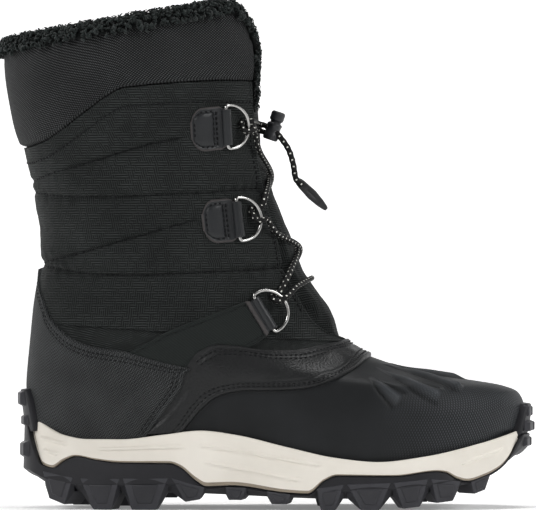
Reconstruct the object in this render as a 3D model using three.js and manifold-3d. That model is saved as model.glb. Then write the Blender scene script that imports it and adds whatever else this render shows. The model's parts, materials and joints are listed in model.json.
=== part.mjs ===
// A laced snow boot for the right foot, as a three.js scene graph in millimetres.
// +X points to the toe, +Y to the inner (medial) side, +Z up, and the boot stands on z = 0.
// One function, shell(), gives the outside of the lasted upper at every height and angle. Upper, overlays,
// tongue, straps, cup sole and insole all take their places from it, with named walls and clearances.
import * as THREE from "three";
import { mergeVertices } from "three/addons/utils/BufferGeometryUtils.js";
import Module from "manifold-3d";

const wasm = await Module();
wasm.setup();

// Driving sizes of the last and the shaft
const BOOT_LENGTH = 260; // sole from heel to toe
const BOOT_HEIGHT = 250; // floor to the front of the collar line
const BALL_WIDTH = 90; // upper across the ball of the foot
const COLLAR_WIDTH = 107; // shaft across the collar
const TOE_SWING = 6; // the toe tip lies this far to the medial side
const WAIST_DEPTH = 13; // how far the arch draws the sole in, both sides together

// Walls, overlays and clearances
const UPPER_WALL = 3;
const CLEARANCE = 0.35;
const COUNTER_THICKNESS = 1.6;
const BAND_THICKNESS = 1.5;
const STRAP_THICKNESS = 1.7;
const TAB_THICKNESS = 1.9;
const TONGUE_THICKNESS = 4;
const INSOLE_THICKNESS = 4;
const CUFF_RISE = 1.2; // the padded cuff stands this proud of the shaft
const OVERLAY_ROOT = 1.2; // an overlay starts this deep and is then cut back to the upper's own surface
const RIB_RISE = 1.8; // flex ribs on the vamp

// Sole
const RIM_OVERHANG = 3; // cup rim beyond the upper at the sides
const SIDE_OVERHANG = 4.2; // midsole wall beyond the upper at the sides
const END_OVERHANG = 1.4; // the same at heel and toe, under the bumpers
const SKIN_RECESS = 1.1; // outsole wall inside the midsole wall at the sides
const SKIN_END_OVERHANG = 4.4; // outsole wall beyond the upper at heel and toe
const SKIN_THICKNESS = 2.4;
const TREAD_PLATE = 3; // outsole between the lugs
const TREAD_CHAMFER = 7; // how far in the plate's underside starts
const LUG_DEPTH = 20; // edge lugs, inwards from the sole's edge
const SIDE_RIB_RISE = 0.6;
const SIDE_RIB_HEIGHT = 1.5;

// Hardware and cord
const RING_WIRE = 2.2; // wire of a D-ring
const RING_HEIGHT = 21.6; // wire centre to wire centre along the straight bar
const RING_REACH = 13; // wire centre of the bar to wire centre of the bow
const SLEEVE_WALL = 1.1; // leather folded round the bar
const SLEEVE_LENGTH = 16.8;
const CORD_DIAMETER = 3;
const LOCK_DIAMETER = 7.6;
const LOCK_LENGTH = 8.8;
const BUTTON_DIAMETER = 6.6;
const BUTTON_LENGTH = 5.2;
const CORD_END_LENGTH = 22;
const CORD_END_WIDTH = 7;
const FUR_HEIGHT = 8.8; // pile above the collar line
const FUR_INSIDE = 8; // pile inwards from the shaft's outside

// How finely the forms are cut
const COLUMNS = 30; // around the boot, an even number

const LATERAL = -1;
const MEDIAL = 1;
const SIDES = [
  { name: "lateral", sign: LATERAL },
  { name: "medial", sign: MEDIAL },
];
const UP = new THREE.Vector3(0, 0, 1);

// Sections of the last, from the sole's edge up. Each ring is a plane curve between a back and a front
// point: backX and frontX are shares of BOOT_LENGTH, backZ and frontZ of BOOT_HEIGHT. Its half width is
// ball x half BALL_WIDTH + collar x half COLLAR_WIDTH, widest at that share of its length from the back.
// backFull and frontFull square its ends; waist and swing are shares of WAIST_DEPTH and TOE_SWING; sag is
// the share of the footbed's own curve that the ring follows.
const RINGS = [
  { name: "feather edge", backX: -0.431, backZ: 0.105, frontX: 0.44, frontZ: 0.115, ball: 0.9,
    collar: 0, widest: 0.66, backFull: 3.3, frontFull: 3.1, waist: 1, swing: 1, sag: 1 },
  { name: "cup wall", backX: -0.446, backZ: 0.132, frontX: 0.47, frontZ: 0.135, ball: 0.967,
    collar: 0, widest: 0.66, backFull: 3.3, frontFull: 3.1, waist: 0.95, swing: 1, sag: 0.85 },
  { name: "cup rim", backX: -0.455, backZ: 0.176, frontX: 0.489, frontZ: 0.16, ball: 1,
    collar: 0, widest: 0.65, backFull: 3.3, frontFull: 3.1, waist: 0.85, swing: 1, sag: 0.55 },
  { name: "toe front", backX: -0.4596, backZ: 0.22, frontX: 0.495, frontZ: 0.2, ball: 1.01,
    collar: 0, widest: 0.64, backFull: 3.3, frontFull: 3, waist: 0.65, swing: 1, sag: 0.3 },
  { name: "toe corner", backX: -0.4615, backZ: 0.244, frontX: 0.4835, frontZ: 0.23, ball: 1,
    collar: 0, widest: 0.62, backFull: 3.2, frontFull: 2.6, waist: 0.5, swing: 0.95, sag: 0.12 },
  { name: "toe top", backX: -0.4608, backZ: 0.26, frontX: 0.454, frontZ: 0.244, ball: 0.99,
    collar: 0, widest: 0.6, backFull: 3.1, frontFull: 2.4, waist: 0.4, swing: 0.9, sag: 0 },
  { name: "toe box", backX: -0.4596, backZ: 0.276, frontX: 0.4077, frontZ: 0.2532, ball: 0.978,
    collar: 0, widest: 0.58, backFull: 3, frontFull: 2.2, waist: 0.3, swing: 0.8, sag: 0 },
  { name: "flex line", backX: -0.4585, backZ: 0.292, frontX: 0.35, frontZ: 0.2615, ball: 0.962,
    collar: 0, widest: 0.56, backFull: 2.9, frontFull: 2.1, waist: 0.2, swing: 0.65, sag: 0 },
  { name: "vamp", backX: -0.4569, backZ: 0.312, frontX: 0.2846, frontZ: 0.274, ball: 0.944,
    collar: 0, widest: 0.54, backFull: 2.8, frontFull: 2, waist: 0.1, swing: 0.45, sag: 0 },
  { name: "vamp top", backX: -0.455, backZ: 0.336, frontX: 0.2192, frontZ: 0.295, ball: 0.922,
    collar: 0, widest: 0.53, backFull: 2.7, frontFull: 2, waist: 0.05, swing: 0.25, sag: 0 },
  { name: "throat base", backX: -0.4523, backZ: 0.364, frontX: 0.1615, frontZ: 0.322, ball: 0.911,
    collar: 0, widest: 0.52, backFull: 2.5, frontFull: 2, waist: 0, swing: 0.1, sag: 0 },
  { name: "instep", backX: -0.4492, backZ: 0.392, frontX: 0.1288, frontZ: 0.36, ball: 0.9,
    collar: 0, widest: 0.52, backFull: 2.4, frontFull: 2, waist: 0, swing: 0, sag: 0 },
  { name: "ankle bend", backX: -0.4442, backZ: 0.432, frontX: 0.1, frontZ: 0.412, ball: 0.7,
    collar: 0.168, widest: 0.51, backFull: 2.25, frontFull: 2, waist: 0, swing: 0, sag: 0 },
  { name: "ankle", backX: -0.4373, backZ: 0.488, frontX: 0.0654, frontZ: 0.476, ball: 0.45,
    collar: 0.397, widest: 0.5, backFull: 2.15, frontFull: 2, waist: 0, swing: 0, sag: 0 },
  { name: "shaft foot", backX: -0.4396, backZ: 0.552, frontX: 0.0404, frontZ: 0.548, ball: 0.2,
    collar: 0.6355, widest: 0.5, backFull: 2.1, frontFull: 2, waist: 0, swing: 0, sag: 0 },
  { name: "shaft low", backX: -0.45, backZ: 0.62, frontX: 0.0192, frontZ: 0.624, ball: 0,
    collar: 0.841, widest: 0.5, backFull: 2.1, frontFull: 2, waist: 0, swing: 0, sag: 0 },
  { name: "shaft middle", backX: -0.4654, backZ: 0.7, frontX: 0.0058, frontZ: 0.708, ball: 0,
    collar: 0.888, widest: 0.5, backFull: 2.1, frontFull: 2, waist: 0, swing: 0, sag: 0 },
  { name: "cuff seam", backX: -0.4827, backZ: 0.768, frontX: 0, frontZ: 0.8, ball: 0,
    collar: 0.935, widest: 0.5, backFull: 2.1, frontFull: 2, waist: 0, swing: 0, sag: 0 },
  { name: "cuff", backX: -0.4962, backZ: 0.84, frontX: -0.0019, frontZ: 0.9, ball: 0,
    collar: 0.972, widest: 0.5, backFull: 2.1, frontFull: 2, waist: 0, swing: 0, sag: 0 },
  { name: "collar line", backX: -0.5077, backZ: 0.91, frontX: 0, frontZ: 1, ball: 0,
    collar: 1, widest: 0.5, backFull: 2.1, frontFull: 2, waist: 0, swing: 0, sag: 0 },
];
const level = Object.fromEntries(RINGS.map((ring, i) => [ring.name, i]));
RINGS.forEach((ring, i) => (ring.level = i));

// Height of the footbed along the boot: x in shares of BOOT_LENGTH, z in shares of BOOT_HEIGHT
const FOOTBED = [
  { x: -0.45, z: 0.105 },
  { x: -0.22, z: 0.099 },
  { x: 0, z: 0.079 },
  { x: 0.15, z: 0.066 },
  { x: 0.27, z: 0.064 },
  { x: 0.36, z: 0.074 },
  { x: 0.41, z: 0.09 },
  { x: 0.45, z: 0.12 },
];

// The midsole's upper edge, and the line where outsole meets midsole, seen from the side
const MIDSOLE_RIM = [
  { x: -0.465, z: 0.186 },
  { x: -0.435, z: 0.168 },
  { x: -0.395, z: 0.148 },
  { x: -0.35, z: 0.1405 },
  { x: -0.285, z: 0.1405 },
  { x: -0.2, z: 0.15 },
  { x: -0.13, z: 0.158 },
  { x: -0.065, z: 0.15 },
  { x: 0.035, z: 0.1255 },
  { x: 0.13, z: 0.104 },
  { x: 0.21, z: 0.096 },
  { x: 0.3, z: 0.1065 },
  { x: 0.41, z: 0.132 },
  { x: 0.487, z: 0.155 },
];
const PARTING_LINE = [
  { x: -0.462, z: 0.178 },
  { x: -0.452, z: 0.13 },
  { x: -0.436, z: 0.089 },
  { x: -0.414, z: 0.083 },
  { x: -0.392, z: 0.098 },
  { x: -0.368, z: 0.107 },
  { x: -0.33, z: 0.1 },
  { x: -0.285, z: 0.095 },
  { x: -0.19, z: 0.094 },
  { x: -0.17, z: 0.087 },
  { x: -0.138, z: 0.059 },
  { x: -0.119, z: 0.048 },
  { x: -0.07, z: 0.05 },
  { x: 0.035, z: 0.036 },
  { x: 0.075, z: 0.034 },
  { x: 0.105, z: 0.059 },
  { x: 0.13, z: 0.07 },
  { x: 0.24, z: 0.069 },
  { x: 0.32, z: 0.078 },
  { x: 0.337, z: 0.076 },
  { x: 0.36, z: 0.063 },
  { x: 0.379, z: 0.058 },
  { x: 0.41, z: 0.067 },
  { x: 0.438, z: 0.082 },
  { x: 0.462, z: 0.105 },
  { x: 0.48, z: 0.134 },
  { x: 0.488, z: 0.15 },
];

// Underside of the outsole between its lugs, with the arch and the toe spring
const TREAD_LINE = [
  { x: -0.46, z: 0.062 },
  { x: -0.42, z: 0.041 },
  { x: -0.35, z: 0.032 },
  { x: -0.18, z: 0.034 },
  { x: -0.1, z: 0.031 },
  { x: 0.05, z: 0.024 },
  { x: 0.13, z: 0.022 },
  { x: 0.25, z: 0.026 },
  { x: 0.34, z: 0.038 },
  { x: 0.41, z: 0.06 },
  { x: 0.46, z: 0.083 },
  { x: 0.49, z: 0.104 },
];

// Lugs along both edges: root and tip run along x in shares of BOOT_LENGTH, and backTip and frontTip are
// the heights of the tip's two ends, in shares of BOOT_HEIGHT. The four at 0 carry the boot.
const EDGE_LUGS = [
  { rootFrom: -0.432, rootTo: -0.374, tipFrom: -0.424, tipTo: -0.393, backTip: 0.021, frontTip: 0.009 },
  { rootFrom: -0.36, rootTo: -0.285, tipFrom: -0.337, tipTo: -0.302, backTip: 0, frontTip: 0 },
  { rootFrom: -0.279, rootTo: -0.192, tipFrom: -0.262, tipTo: -0.215, backTip: 0, frontTip: 0 },
  { rootFrom: -0.186, rootTo: -0.122, tipFrom: -0.16, tipTo: -0.131, backTip: 0.016, frontTip: 0.021 },
  { rootFrom: -0.083, rootTo: -0.042, tipFrom: -0.077, tipTo: -0.051, backTip: 0.02, frontTip: 0.02 },
  { rootFrom: -0.004, rootTo: 0.042, tipFrom: 0.005, tipTo: 0.035, backTip: 0.012, frontTip: 0.012 },
  { rootFrom: 0.092, rootTo: 0.143, tipFrom: 0.1, tipTo: 0.128, backTip: 0, frontTip: 0 },
  { rootFrom: 0.15, rootTo: 0.233, tipFrom: 0.177, tipTo: 0.212, backTip: 0, frontTip: 0 },
  { rootFrom: 0.238, rootTo: 0.304, tipFrom: 0.257, tipTo: 0.29, backTip: 0.003, frontTip: 0.007 },
  { rootFrom: 0.31, rootTo: 0.367, tipFrom: 0.322, tipTo: 0.354, backTip: 0.014, frontTip: 0.018 },
  { rootFrom: 0.386, rootTo: 0.424, tipFrom: 0.395, tipTo: 0.417, backTip: 0.031, frontTip: 0.039 },
];
const LUG_HEAD = 0.012; // how far a lug's root climbs the wall above the tread, share of BOOT_HEIGHT

// Lugs down the middle, as centre and size in shares of BOOT_LENGTH across BALL_WIDTH
const CENTRE_LUGS = [
  { x: -0.36, length: 0.05, width: 0.24, tip: 0.006 },
  { x: -0.27, length: 0.055, width: 0.26, tip: 0.004 },
  { x: -0.19, length: 0.04, width: 0.22, tip: 0.02 },
  { x: 0.11, length: 0.045, width: 0.34, tip: 0.004 },
  { x: 0.2, length: 0.05, width: 0.42, tip: 0.002 },
  { x: 0.29, length: 0.045, width: 0.36, tip: 0.012 },
  { x: 0.37, length: 0.035, width: 0.26, tip: 0.034 },
];

// Blocks on the bumpers, up the heel and round the toe: z and height are shares of BOOT_HEIGHT, out is
// their face's distance beyond the cup rim in millimetres, places and spread are degrees round the end
const HEEL_BLOCKS = [
  { z: 0.22, height: 0.034, out: 8, places: [-5.5, 5.5], spread: 8 },
  { z: 0.176, height: 0.024, out: 6.4, places: [-6, 6], spread: 9 },
  { z: 0.118, height: 0.036, out: 7, places: [-6.5, 6.5], spread: 10 },
];
const TOE_BLOCKS = [
  { z: 0.194, height: 0.026, out: 5.9, places: [-8, 0, 8], spread: 6 },
  { z: 0.164, height: 0.024, out: 6.9, places: [-9, 0, 9], spread: 7 },
  { z: 0.133, height: 0.024, out: 5.4, places: [-9, 0, 9], spread: 7 },
];

// Raised lines on the midsole's side, from end to end in shares of BOOT_LENGTH and BOOT_HEIGHT
const SIDE_RIBS = [
  { fromX: -0.438, fromZ: 0.142, toX: -0.388, toZ: 0.13 },
  { fromX: -0.432, fromZ: 0.117, toX: -0.404, toZ: 0.11 },
  { fromX: -0.32, fromZ: 0.121, toX: -0.163, toZ: 0.126 },
  { fromX: -0.128, fromZ: 0.128, toX: 0.098, toZ: 0.09 },
  { fromX: -0.12, fromZ: 0.095, toX: 0.06, toZ: 0.059 },
  { fromX: 0.371, fromZ: 0.092, toX: 0.447, toZ: 0.12 },
];

// The seam under the padded cuff, seen from the side, from back to front
const CUFF_SEAM = [
  { x: -0.5, z: 0.722 },
  { x: -0.464, z: 0.722 },
  { x: -0.435, z: 0.73 },
  { x: -0.394, z: 0.756 },
  { x: -0.35, z: 0.79 },
  { x: -0.306, z: 0.823 },
  { x: -0.276, z: 0.838 },
  { x: -0.22, z: 0.844 },
  { x: -0.148, z: 0.85 },
  { x: -0.074, z: 0.853 },
  { x: 0.02, z: 0.85 },
];
// Edges of the heel counter and of the band over the vamp, seen from the side
const COUNTER_TOP = [
  { x: -0.445, z: 0.482 },
  { x: -0.438, z: 0.459 },
  { x: -0.43, z: 0.421 },
  { x: -0.412, z: 0.376 },
  { x: -0.381, z: 0.344 },
  { x: -0.335, z: 0.325 },
  { x: -0.27, z: 0.3145 },
  { x: -0.197, z: 0.294 },
  { x: -0.165, z: 0.287 },
  { x: -0.15, z: 0.27 },
];
const COUNTER_FRONT = [
  { z: 0.14, x: -0.242 },
  { z: 0.19, x: -0.197 },
  { z: 0.24, x: -0.158 },
  { z: 0.287, x: -0.152 },
];
const BAND_EDGES = [
  { topX: -0.233, topZ: 0.15, bottomX: -0.164, bottomZ: 0.156 },
  { topX: -0.19, topZ: 0.192, bottomX: -0.145, bottomZ: 0.18 },
  { topX: -0.15, topZ: 0.24, bottomX: -0.122, bottomZ: 0.206 },
  { topX: -0.144, topZ: 0.265, bottomX: -0.105, bottomZ: 0.22 },
  { topX: -0.14, topZ: 0.292, bottomX: -0.086, bottomZ: 0.229 },
  { topX: -0.126, topZ: 0.32, bottomX: -0.066, bottomZ: 0.234 },
  { topX: -0.1, topZ: 0.331, bottomX: -0.04, bottomZ: 0.237 },
  { topX: -0.062, topZ: 0.327, bottomX: 0, bottomZ: 0.237 },
  { topX: -0.01, topZ: 0.318, bottomX: 0.045, bottomZ: 0.239 },
  { topX: 0.042, topZ: 0.316, bottomX: 0.085, bottomZ: 0.244 },
  { topX: 0.085, topZ: 0.323, bottomX: 0.126, bottomZ: 0.259 },
  { topX: 0.114, topZ: 0.329, bottomX: 0.164, bottomZ: 0.283 },
];
// The same two edges where the band crosses the instep, as degrees from the centre line and levels
const BAND_CREST = [
  { topAngle: 22, topLevel: 10.16, bottomAngle: 27, bottomLevel: 8.94 },
  { topAngle: 11, topLevel: 10.13, bottomAngle: 13, bottomLevel: 9.27 },
  { topAngle: 0, topLevel: 10.12, bottomAngle: 0, bottomLevel: 9.35 },
];

// Straps, tabs and rings on each side: the middle of the ring's bar, which way the ring points, in degrees
// below level, and how far a tab's leather reaches behind the bar and how wide it is, in millimetres
const FASTENERS = [
  { name: "top", x: -0.086, z: 0.7614, dip: -4, reach: 22, width: 22 },
  { name: "middle", x: -0.0638, z: 0.577, dip: -7, reach: 20.5, width: 22 },
  { name: "ankle", x: -0.0123, z: 0.388, dip: -33, reach: 0, width: 22 },
];
// The ankle strap's two edges, seen from the side, from where the counter covers it to its folded end
const STRAP_EDGES = [
  { topX: -0.227, topZ: 0.336, bottomX: -0.215, bottomZ: 0.276 },
  { topX: -0.165, topZ: 0.37, bottomX: -0.146, bottomZ: 0.29 },
  { topX: -0.108, topZ: 0.395, bottomX: -0.077, bottomZ: 0.308 },
  { topX: -0.052, topZ: 0.42, bottomX: -0.023, bottomZ: 0.33 },
];

// Flex ribs that fan out over the vamp, from root to end, with their width at the end in millimetres
const VAMP_RIBS = [
  { fromX: 0.2231, fromZ: 0.288, toX: 0.372, toZ: 0.243, width: 7 },
  { fromX: 0.2106, fromZ: 0.281, toX: 0.3288, toZ: 0.226, width: 7 },
  { fromX: 0.1962, fromZ: 0.264, toX: 0.25, toZ: 0.216, width: 7 },
];
const CREST_RIB = { fromLevel: 8.75, toLevel: 6.45, width: 7 };

// Half angle of the throat between the shaft's front edges, in degrees, and how far the tongue stands
// inside (-) or outside (+) the last's own front, in millimetres, both by level
const THROAT = [
  { level: 10.3, angle: 0, tongue: -1.5 },
  { level: 10.7, angle: 22, tongue: -0.5 },
  { level: 11.4, angle: 30, tongue: 2.4 },
  { level: 12.2, angle: 31, tongue: 2 },
  { level: 13, angle: 30, tongue: 0.2 },
  { level: 13.8, angle: 28, tongue: 0.4 },
  { level: 14.6, angle: 27, tongue: -0.8 },
  { level: 15.4, angle: 28, tongue: -3 },
  { level: 16.2, angle: 29, tongue: -5 },
  { level: 17, angle: 29, tongue: -5.2 },
  { level: 19, angle: 28, tongue: -5.2 },
];
const FUR_FOOT = 16.45; // row at which the fur down the front edges starts
const TONGUE_TOP = 18.4;
const TONGUE_UNDERLAP = 8; // degrees that the tongue reaches behind each front edge
const TONGUE_TOP_ANGLE = 19; // its half width between the two ends of the fur
const CORNER_DROP = 0.75; // levels that the cuff's front corner is rounded off
const CORNER_ANGLE = 22; // degrees over which it rounds

const radians = THREE.MathUtils.degToRad;
const clamp = THREE.MathUtils.clamp;
const lerp = THREE.MathUtils.lerp;
const smooth = (x) => THREE.MathUtils.smoothstep(x, 0, 1);
const alongBoot = (share) => share * BOOT_LENGTH;
const upBoot = (share) => share * BOOT_HEIGHT;

// A curve through a table's rows, column against key, that never overshoots its rows. The slope at a row
// is the harmonic mean of its neighbours' slopes, or zero where they disagree in sign.
function curve(rows, key, column) {
  const at = rows.map((row) => row[key]);
  const value = rows.map((row) => row[column]);
  const last = rows.length - 1;
  const rise = at.slice(1).map((a, i) => (value[i + 1] - value[i]) / (a - at[i]));
  const slope = value.map((_, i) => {
    if (i === 0) return rise[0];
    if (i === last) return rise[last - 1];
    return rise[i - 1] * rise[i] <= 0 ? 0 : (2 * rise[i - 1] * rise[i]) / (rise[i - 1] + rise[i]);
  });
  return (k) => {
    const x = clamp(k, at[0], at[last]);
    let i = 0;
    while (i < last - 1 && x > at[i + 1]) i += 1;
    const h = at[i + 1] - at[i];
    const s = (x - at[i]) / h;
    return (
      value[i] * (1 + 2 * s) * (1 - s) ** 2 +
      value[i + 1] * s * s * (3 - 2 * s) +
      h * (slope[i] * s * (1 - s) ** 2 - slope[i + 1] * s * s * (1 - s))
    );
  };
}

const ringColumns = Object.keys(RINGS[0]).filter((name) => !["name", "level"].includes(name));
const ringCurves = Object.fromEntries(
  ringColumns.map((name) => [name, curve(RINGS, "level", name)]),
);
const inLengths = (rows) => {
  const z = curve(rows, "x", "z");
  return (x) => upBoot(z(x / BOOT_LENGTH));
};
const footbed = inLengths(FOOTBED);
const midsoleRim = inLengths(MIDSOLE_RIM);
const partingLine = inLengths(PARTING_LINE);
const treadLine = inLengths(TREAD_LINE);
const throatAngle = curve(THROAT, "level", "angle");
const tongueStand = curve(THROAT, "level", "tongue");

// The ring of the last at a level, with its sizes in millimetres.
function ringAt(lv) {
  const share = Object.fromEntries(ringColumns.map((name) => [name, ringCurves[name](lv)]));
  return {
    ...share,
    backX: alongBoot(share.backX),
    backZ: upBoot(share.backZ),
    frontX: alongBoot(share.frontX),
    frontZ: upBoot(share.frontZ),
    half: (share.ball * BALL_WIDTH + share.collar * COLLAR_WIDTH) / 2,
  };
}

const featherRing = ringAt(0);
const WAIST_AT = 0.38; // share of the ring's length
const WAIST_SPREAD = 0.17;
const SWING_FROM = 0.55;

// A point on the outside of the last. angle runs from 0 at the toe or shin, over the lateral side, to pi
// at the heel and on round the medial side to 2 pi.
function shell(angle, lv) {
  const ring = ringAt(lv);
  const t = (1 + Math.cos(angle)) / 2;
  const front = t > ring.widest;
  const r = front ? (t - ring.widest) / (1 - ring.widest) : (ring.widest - t) / ring.widest;
  const full = front ? ring.frontFull : ring.backFull;
  const waist = 1 - (ring.waist * WAIST_DEPTH / BALL_WIDTH) * Math.exp(-(((t - WAIST_AT) / WAIST_SPREAD) ** 2));
  const half = ring.half * Math.sqrt(Math.max(0, 1 - r ** full)) * waist;
  const x = lerp(ring.backX, ring.frontX, t);
  const line = lerp(featherRing.backZ, featherRing.frontZ, t);
  const z = lerp(ring.backZ, ring.frontZ, t) + ring.sag * (footbed(x) - line);
  const centre = TOE_SWING * ring.swing * smooth((t - SWING_FROM) / (1 - SWING_FROM));
  return new THREE.Vector3(x, centre - Math.sign(Math.sin(angle)) * half, z);
}

// The last's outward normal, from the two directions along the surface.
function normalAt(angle, lv) {
  const step = 1e-3;
  const high = Math.min(lv + step, RINGS.length - 1);
  const low = Math.max(lv - step, 0);
  const around = shell(angle + step, lv).sub(shell(angle - step, lv));
  const up = shell(angle, high).sub(shell(angle, low));
  return up.cross(around).normalize();
}

// The last moved out along its normal.
const offset = (angle, lv, out) => shell(angle, lv).addScaledVector(normalAt(angle, lv), out);

// The angle and level of the lateral surface point that shows at x, z from the side.
function locate(x, z) {
  let low = 0;
  let high = RINGS.length - 1;
  for (let i = 0; i < 40; i += 1) {
    const middle = (low + high) / 2;
    const ring = ringAt(middle);
    const t = (x - ring.backX) / (ring.frontX - ring.backX);
    const line = lerp(featherRing.backZ, featherRing.frontZ, clamp(t, 0, 1));
    const height = lerp(ring.backZ, ring.frontZ, t) + ring.sag * (footbed(x) - line);
    if (height < z) low = middle;
    else high = middle;
  }
  const ring = ringAt(low);
  const t = clamp((x - ring.backX) / (ring.frontX - ring.backX), 0, 1);
  return { angle: Math.acos(2 * t - 1), level: low };
}

// Solids from grids of points
function toSolid(points, triangles) {
  const geometry = new THREE.BufferGeometry();
  geometry.setAttribute("position", new THREE.Float32BufferAttribute(points.flatMap((p) => p.toArray()), 3));
  geometry.setIndex(triangles.flat());
  return fromGeometry(geometry);
}

// A closed three.js geometry as a solid, turned right side out.
function fromGeometry(geometry) {
  geometry.deleteAttribute("normal");
  geometry.deleteAttribute("uv");
  const merged = mergeVertices(geometry, 1e-4);
  const whole = [];
  const index = merged.index.array;
  for (let i = 0; i < index.length; i += 3) {
    const [a, b, c] = index.slice(i, i + 3);
    if (a !== b && b !== c && a !== c) whole.push(a, b, c);
  }
  const make = (triVerts) =>
    new wasm.Manifold(
      new wasm.Mesh({ numProp: 3, vertProperties: new Float32Array(merged.attributes.position.array), triVerts }),
    );
  const solid = make(new Uint32Array(whole));
  if (solid.volume() > 0) return solid;
  return make(new Uint32Array(whole.reverse()));
}

// A body through rings of equally many points. Its ends are closed with a fan each, or with rungs from
// side to side for rings that start at the toe, or the last ring meets the first.
function loft(rings, ends = "fan") {
  const n = rings[0].length;
  const points = rings.flat();
  const triangles = [];
  const steps = ends === "loop" ? rings.length : rings.length - 1;
  for (let k = 0; k < steps; k += 1) {
    const a = k * n;
    const b = ((k + 1) % rings.length) * n;
    for (let i = 0; i < n; i += 1) {
      const j = (i + 1) % n;
      triangles.push([a + i, a + j, b + j], [a + i, b + j, b + i]);
    }
  }
  const cap = (start, flip) => {
    const face = (a, b, c) => triangles.push(flip ? [a, b, c] : [c, b, a]);
    if (ends === "fan") {
      for (let i = 1; i < n - 1; i += 1) face(start, start + i, start + i + 1);
      return;
    }
    for (let i = 0; i < n / 2; i += 1) {
      const far = (n - i) % n;
      if (i > 0) face(start + i, start + i + 1, start + far);
      if (i < n / 2 - 1) face(start + i + 1, start + n - i - 1, start + far);
    }
  };
  if (ends !== "loop") {
    cap(0, false);
    cap((rings.length - 1) * n, true);
  }
  return toSolid(points, triangles);
}

// A sheet between an inner and an outer grid of points, closed round its edge.
function sheet(rows, columns, point) {
  const points = [];
  const triangles = [];
  const index = (face, i, j) => face * (rows + 1) * (columns + 1) + i * (columns + 1) + j;
  for (const face of [0, 1])
    for (let i = 0; i <= rows; i += 1)
      for (let j = 0; j <= columns; j += 1) points.push(point(i / rows, j / columns, face));
  const quad = (a, b, c, d) => triangles.push([a, b, c], [a, c, d]);
  for (let i = 0; i < rows; i += 1)
    for (let j = 0; j < columns; j += 1) {
      quad(index(1, i, j), index(1, i, j + 1), index(1, i + 1, j + 1), index(1, i + 1, j));
      quad(index(0, i, j), index(0, i + 1, j), index(0, i + 1, j + 1), index(0, i, j + 1));
    }
  for (let j = 0; j < columns; j += 1) {
    quad(index(0, 0, j), index(0, 0, j + 1), index(1, 0, j + 1), index(1, 0, j));
    quad(index(1, rows, j), index(1, rows, j + 1), index(0, rows, j + 1), index(0, rows, j));
  }
  for (let i = 0; i < rows; i += 1) {
    quad(index(1, i, 0), index(1, i + 1, 0), index(0, i + 1, 0), index(0, i, 0));
    quad(index(0, i, columns), index(0, i + 1, columns), index(1, i + 1, columns), index(1, i, columns));
  }
  return toSolid(points, triangles);
}

const mirrored = (angle, sign) => (sign === LATERAL ? angle : 2 * Math.PI - angle);
const loopAngles = Array.from({ length: COLUMNS }, (_, i) => (2 * Math.PI * i) / COLUMNS);

// The level of a place on the lateral side at which a line seen from the side crosses an angle
function levelOfEdge(rows) {
  const places = rows.map(({ x, z }) => locate(alongBoot(x), upBoot(z))).sort((a, b) => a.angle - b.angle);
  const apart = places.filter((place, i) => i === 0 || place.angle - places[i - 1].angle > 1e-3);
  return curve(apart, "angle", "level");
}
const seamLevel = levelOfEdge(CUFF_SEAM);
const counterTopLevel = levelOfEdge(COUNTER_TOP);
const sideAngle = (angle) => Math.abs(Math.atan2(Math.sin(angle), Math.cos(angle)));

// Upper: one hollow wall from the feather edge to the collar line, split at the throat. Its rows are
// levels up to the shaft and then bend to follow the cuff seam, so that the cuff's step lies on a row.
const SEAM_ROW = level["cuff seam"];
const TOP_ROW = RINGS.length - 1;
const BEND_ROW = 14;
const UPPER_ROWS = [
  0, 1, 2, 3, 4, 5, 6.2, 7.6, 8.7, 9.5, 10.3, 10.7, 11.5, 12.6, 14, 15.6, 16.93, 17.07, 18, 19,
];
const throatRadians = (row) => radians(throatAngle(row));

// The level of a row at an angle. The collar line falls away towards the throat, which rounds the cuff's
// front corners.
function rowLevel(row, angle) {
  if (row <= BEND_ROW) return row;
  const seam = seamLevel(sideAngle(angle));
  if (row <= SEAM_ROW) return lerp(BEND_ROW, seam, (row - BEND_ROW) / (SEAM_ROW - BEND_ROW));
  const up = (row - SEAM_ROW) / (TOP_ROW - SEAM_ROW);
  const fromEdge = clamp((sideAngle(angle) - throatRadians(row)) / radians(CORNER_ANGLE), 0, 1);
  return lerp(seam, TOP_ROW, up) - up * CORNER_DROP * (1 - fromEdge) ** 2.5;
}

const cuffRise = (row) => (row > SEAM_ROW ? CUFF_RISE : 0);

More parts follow.
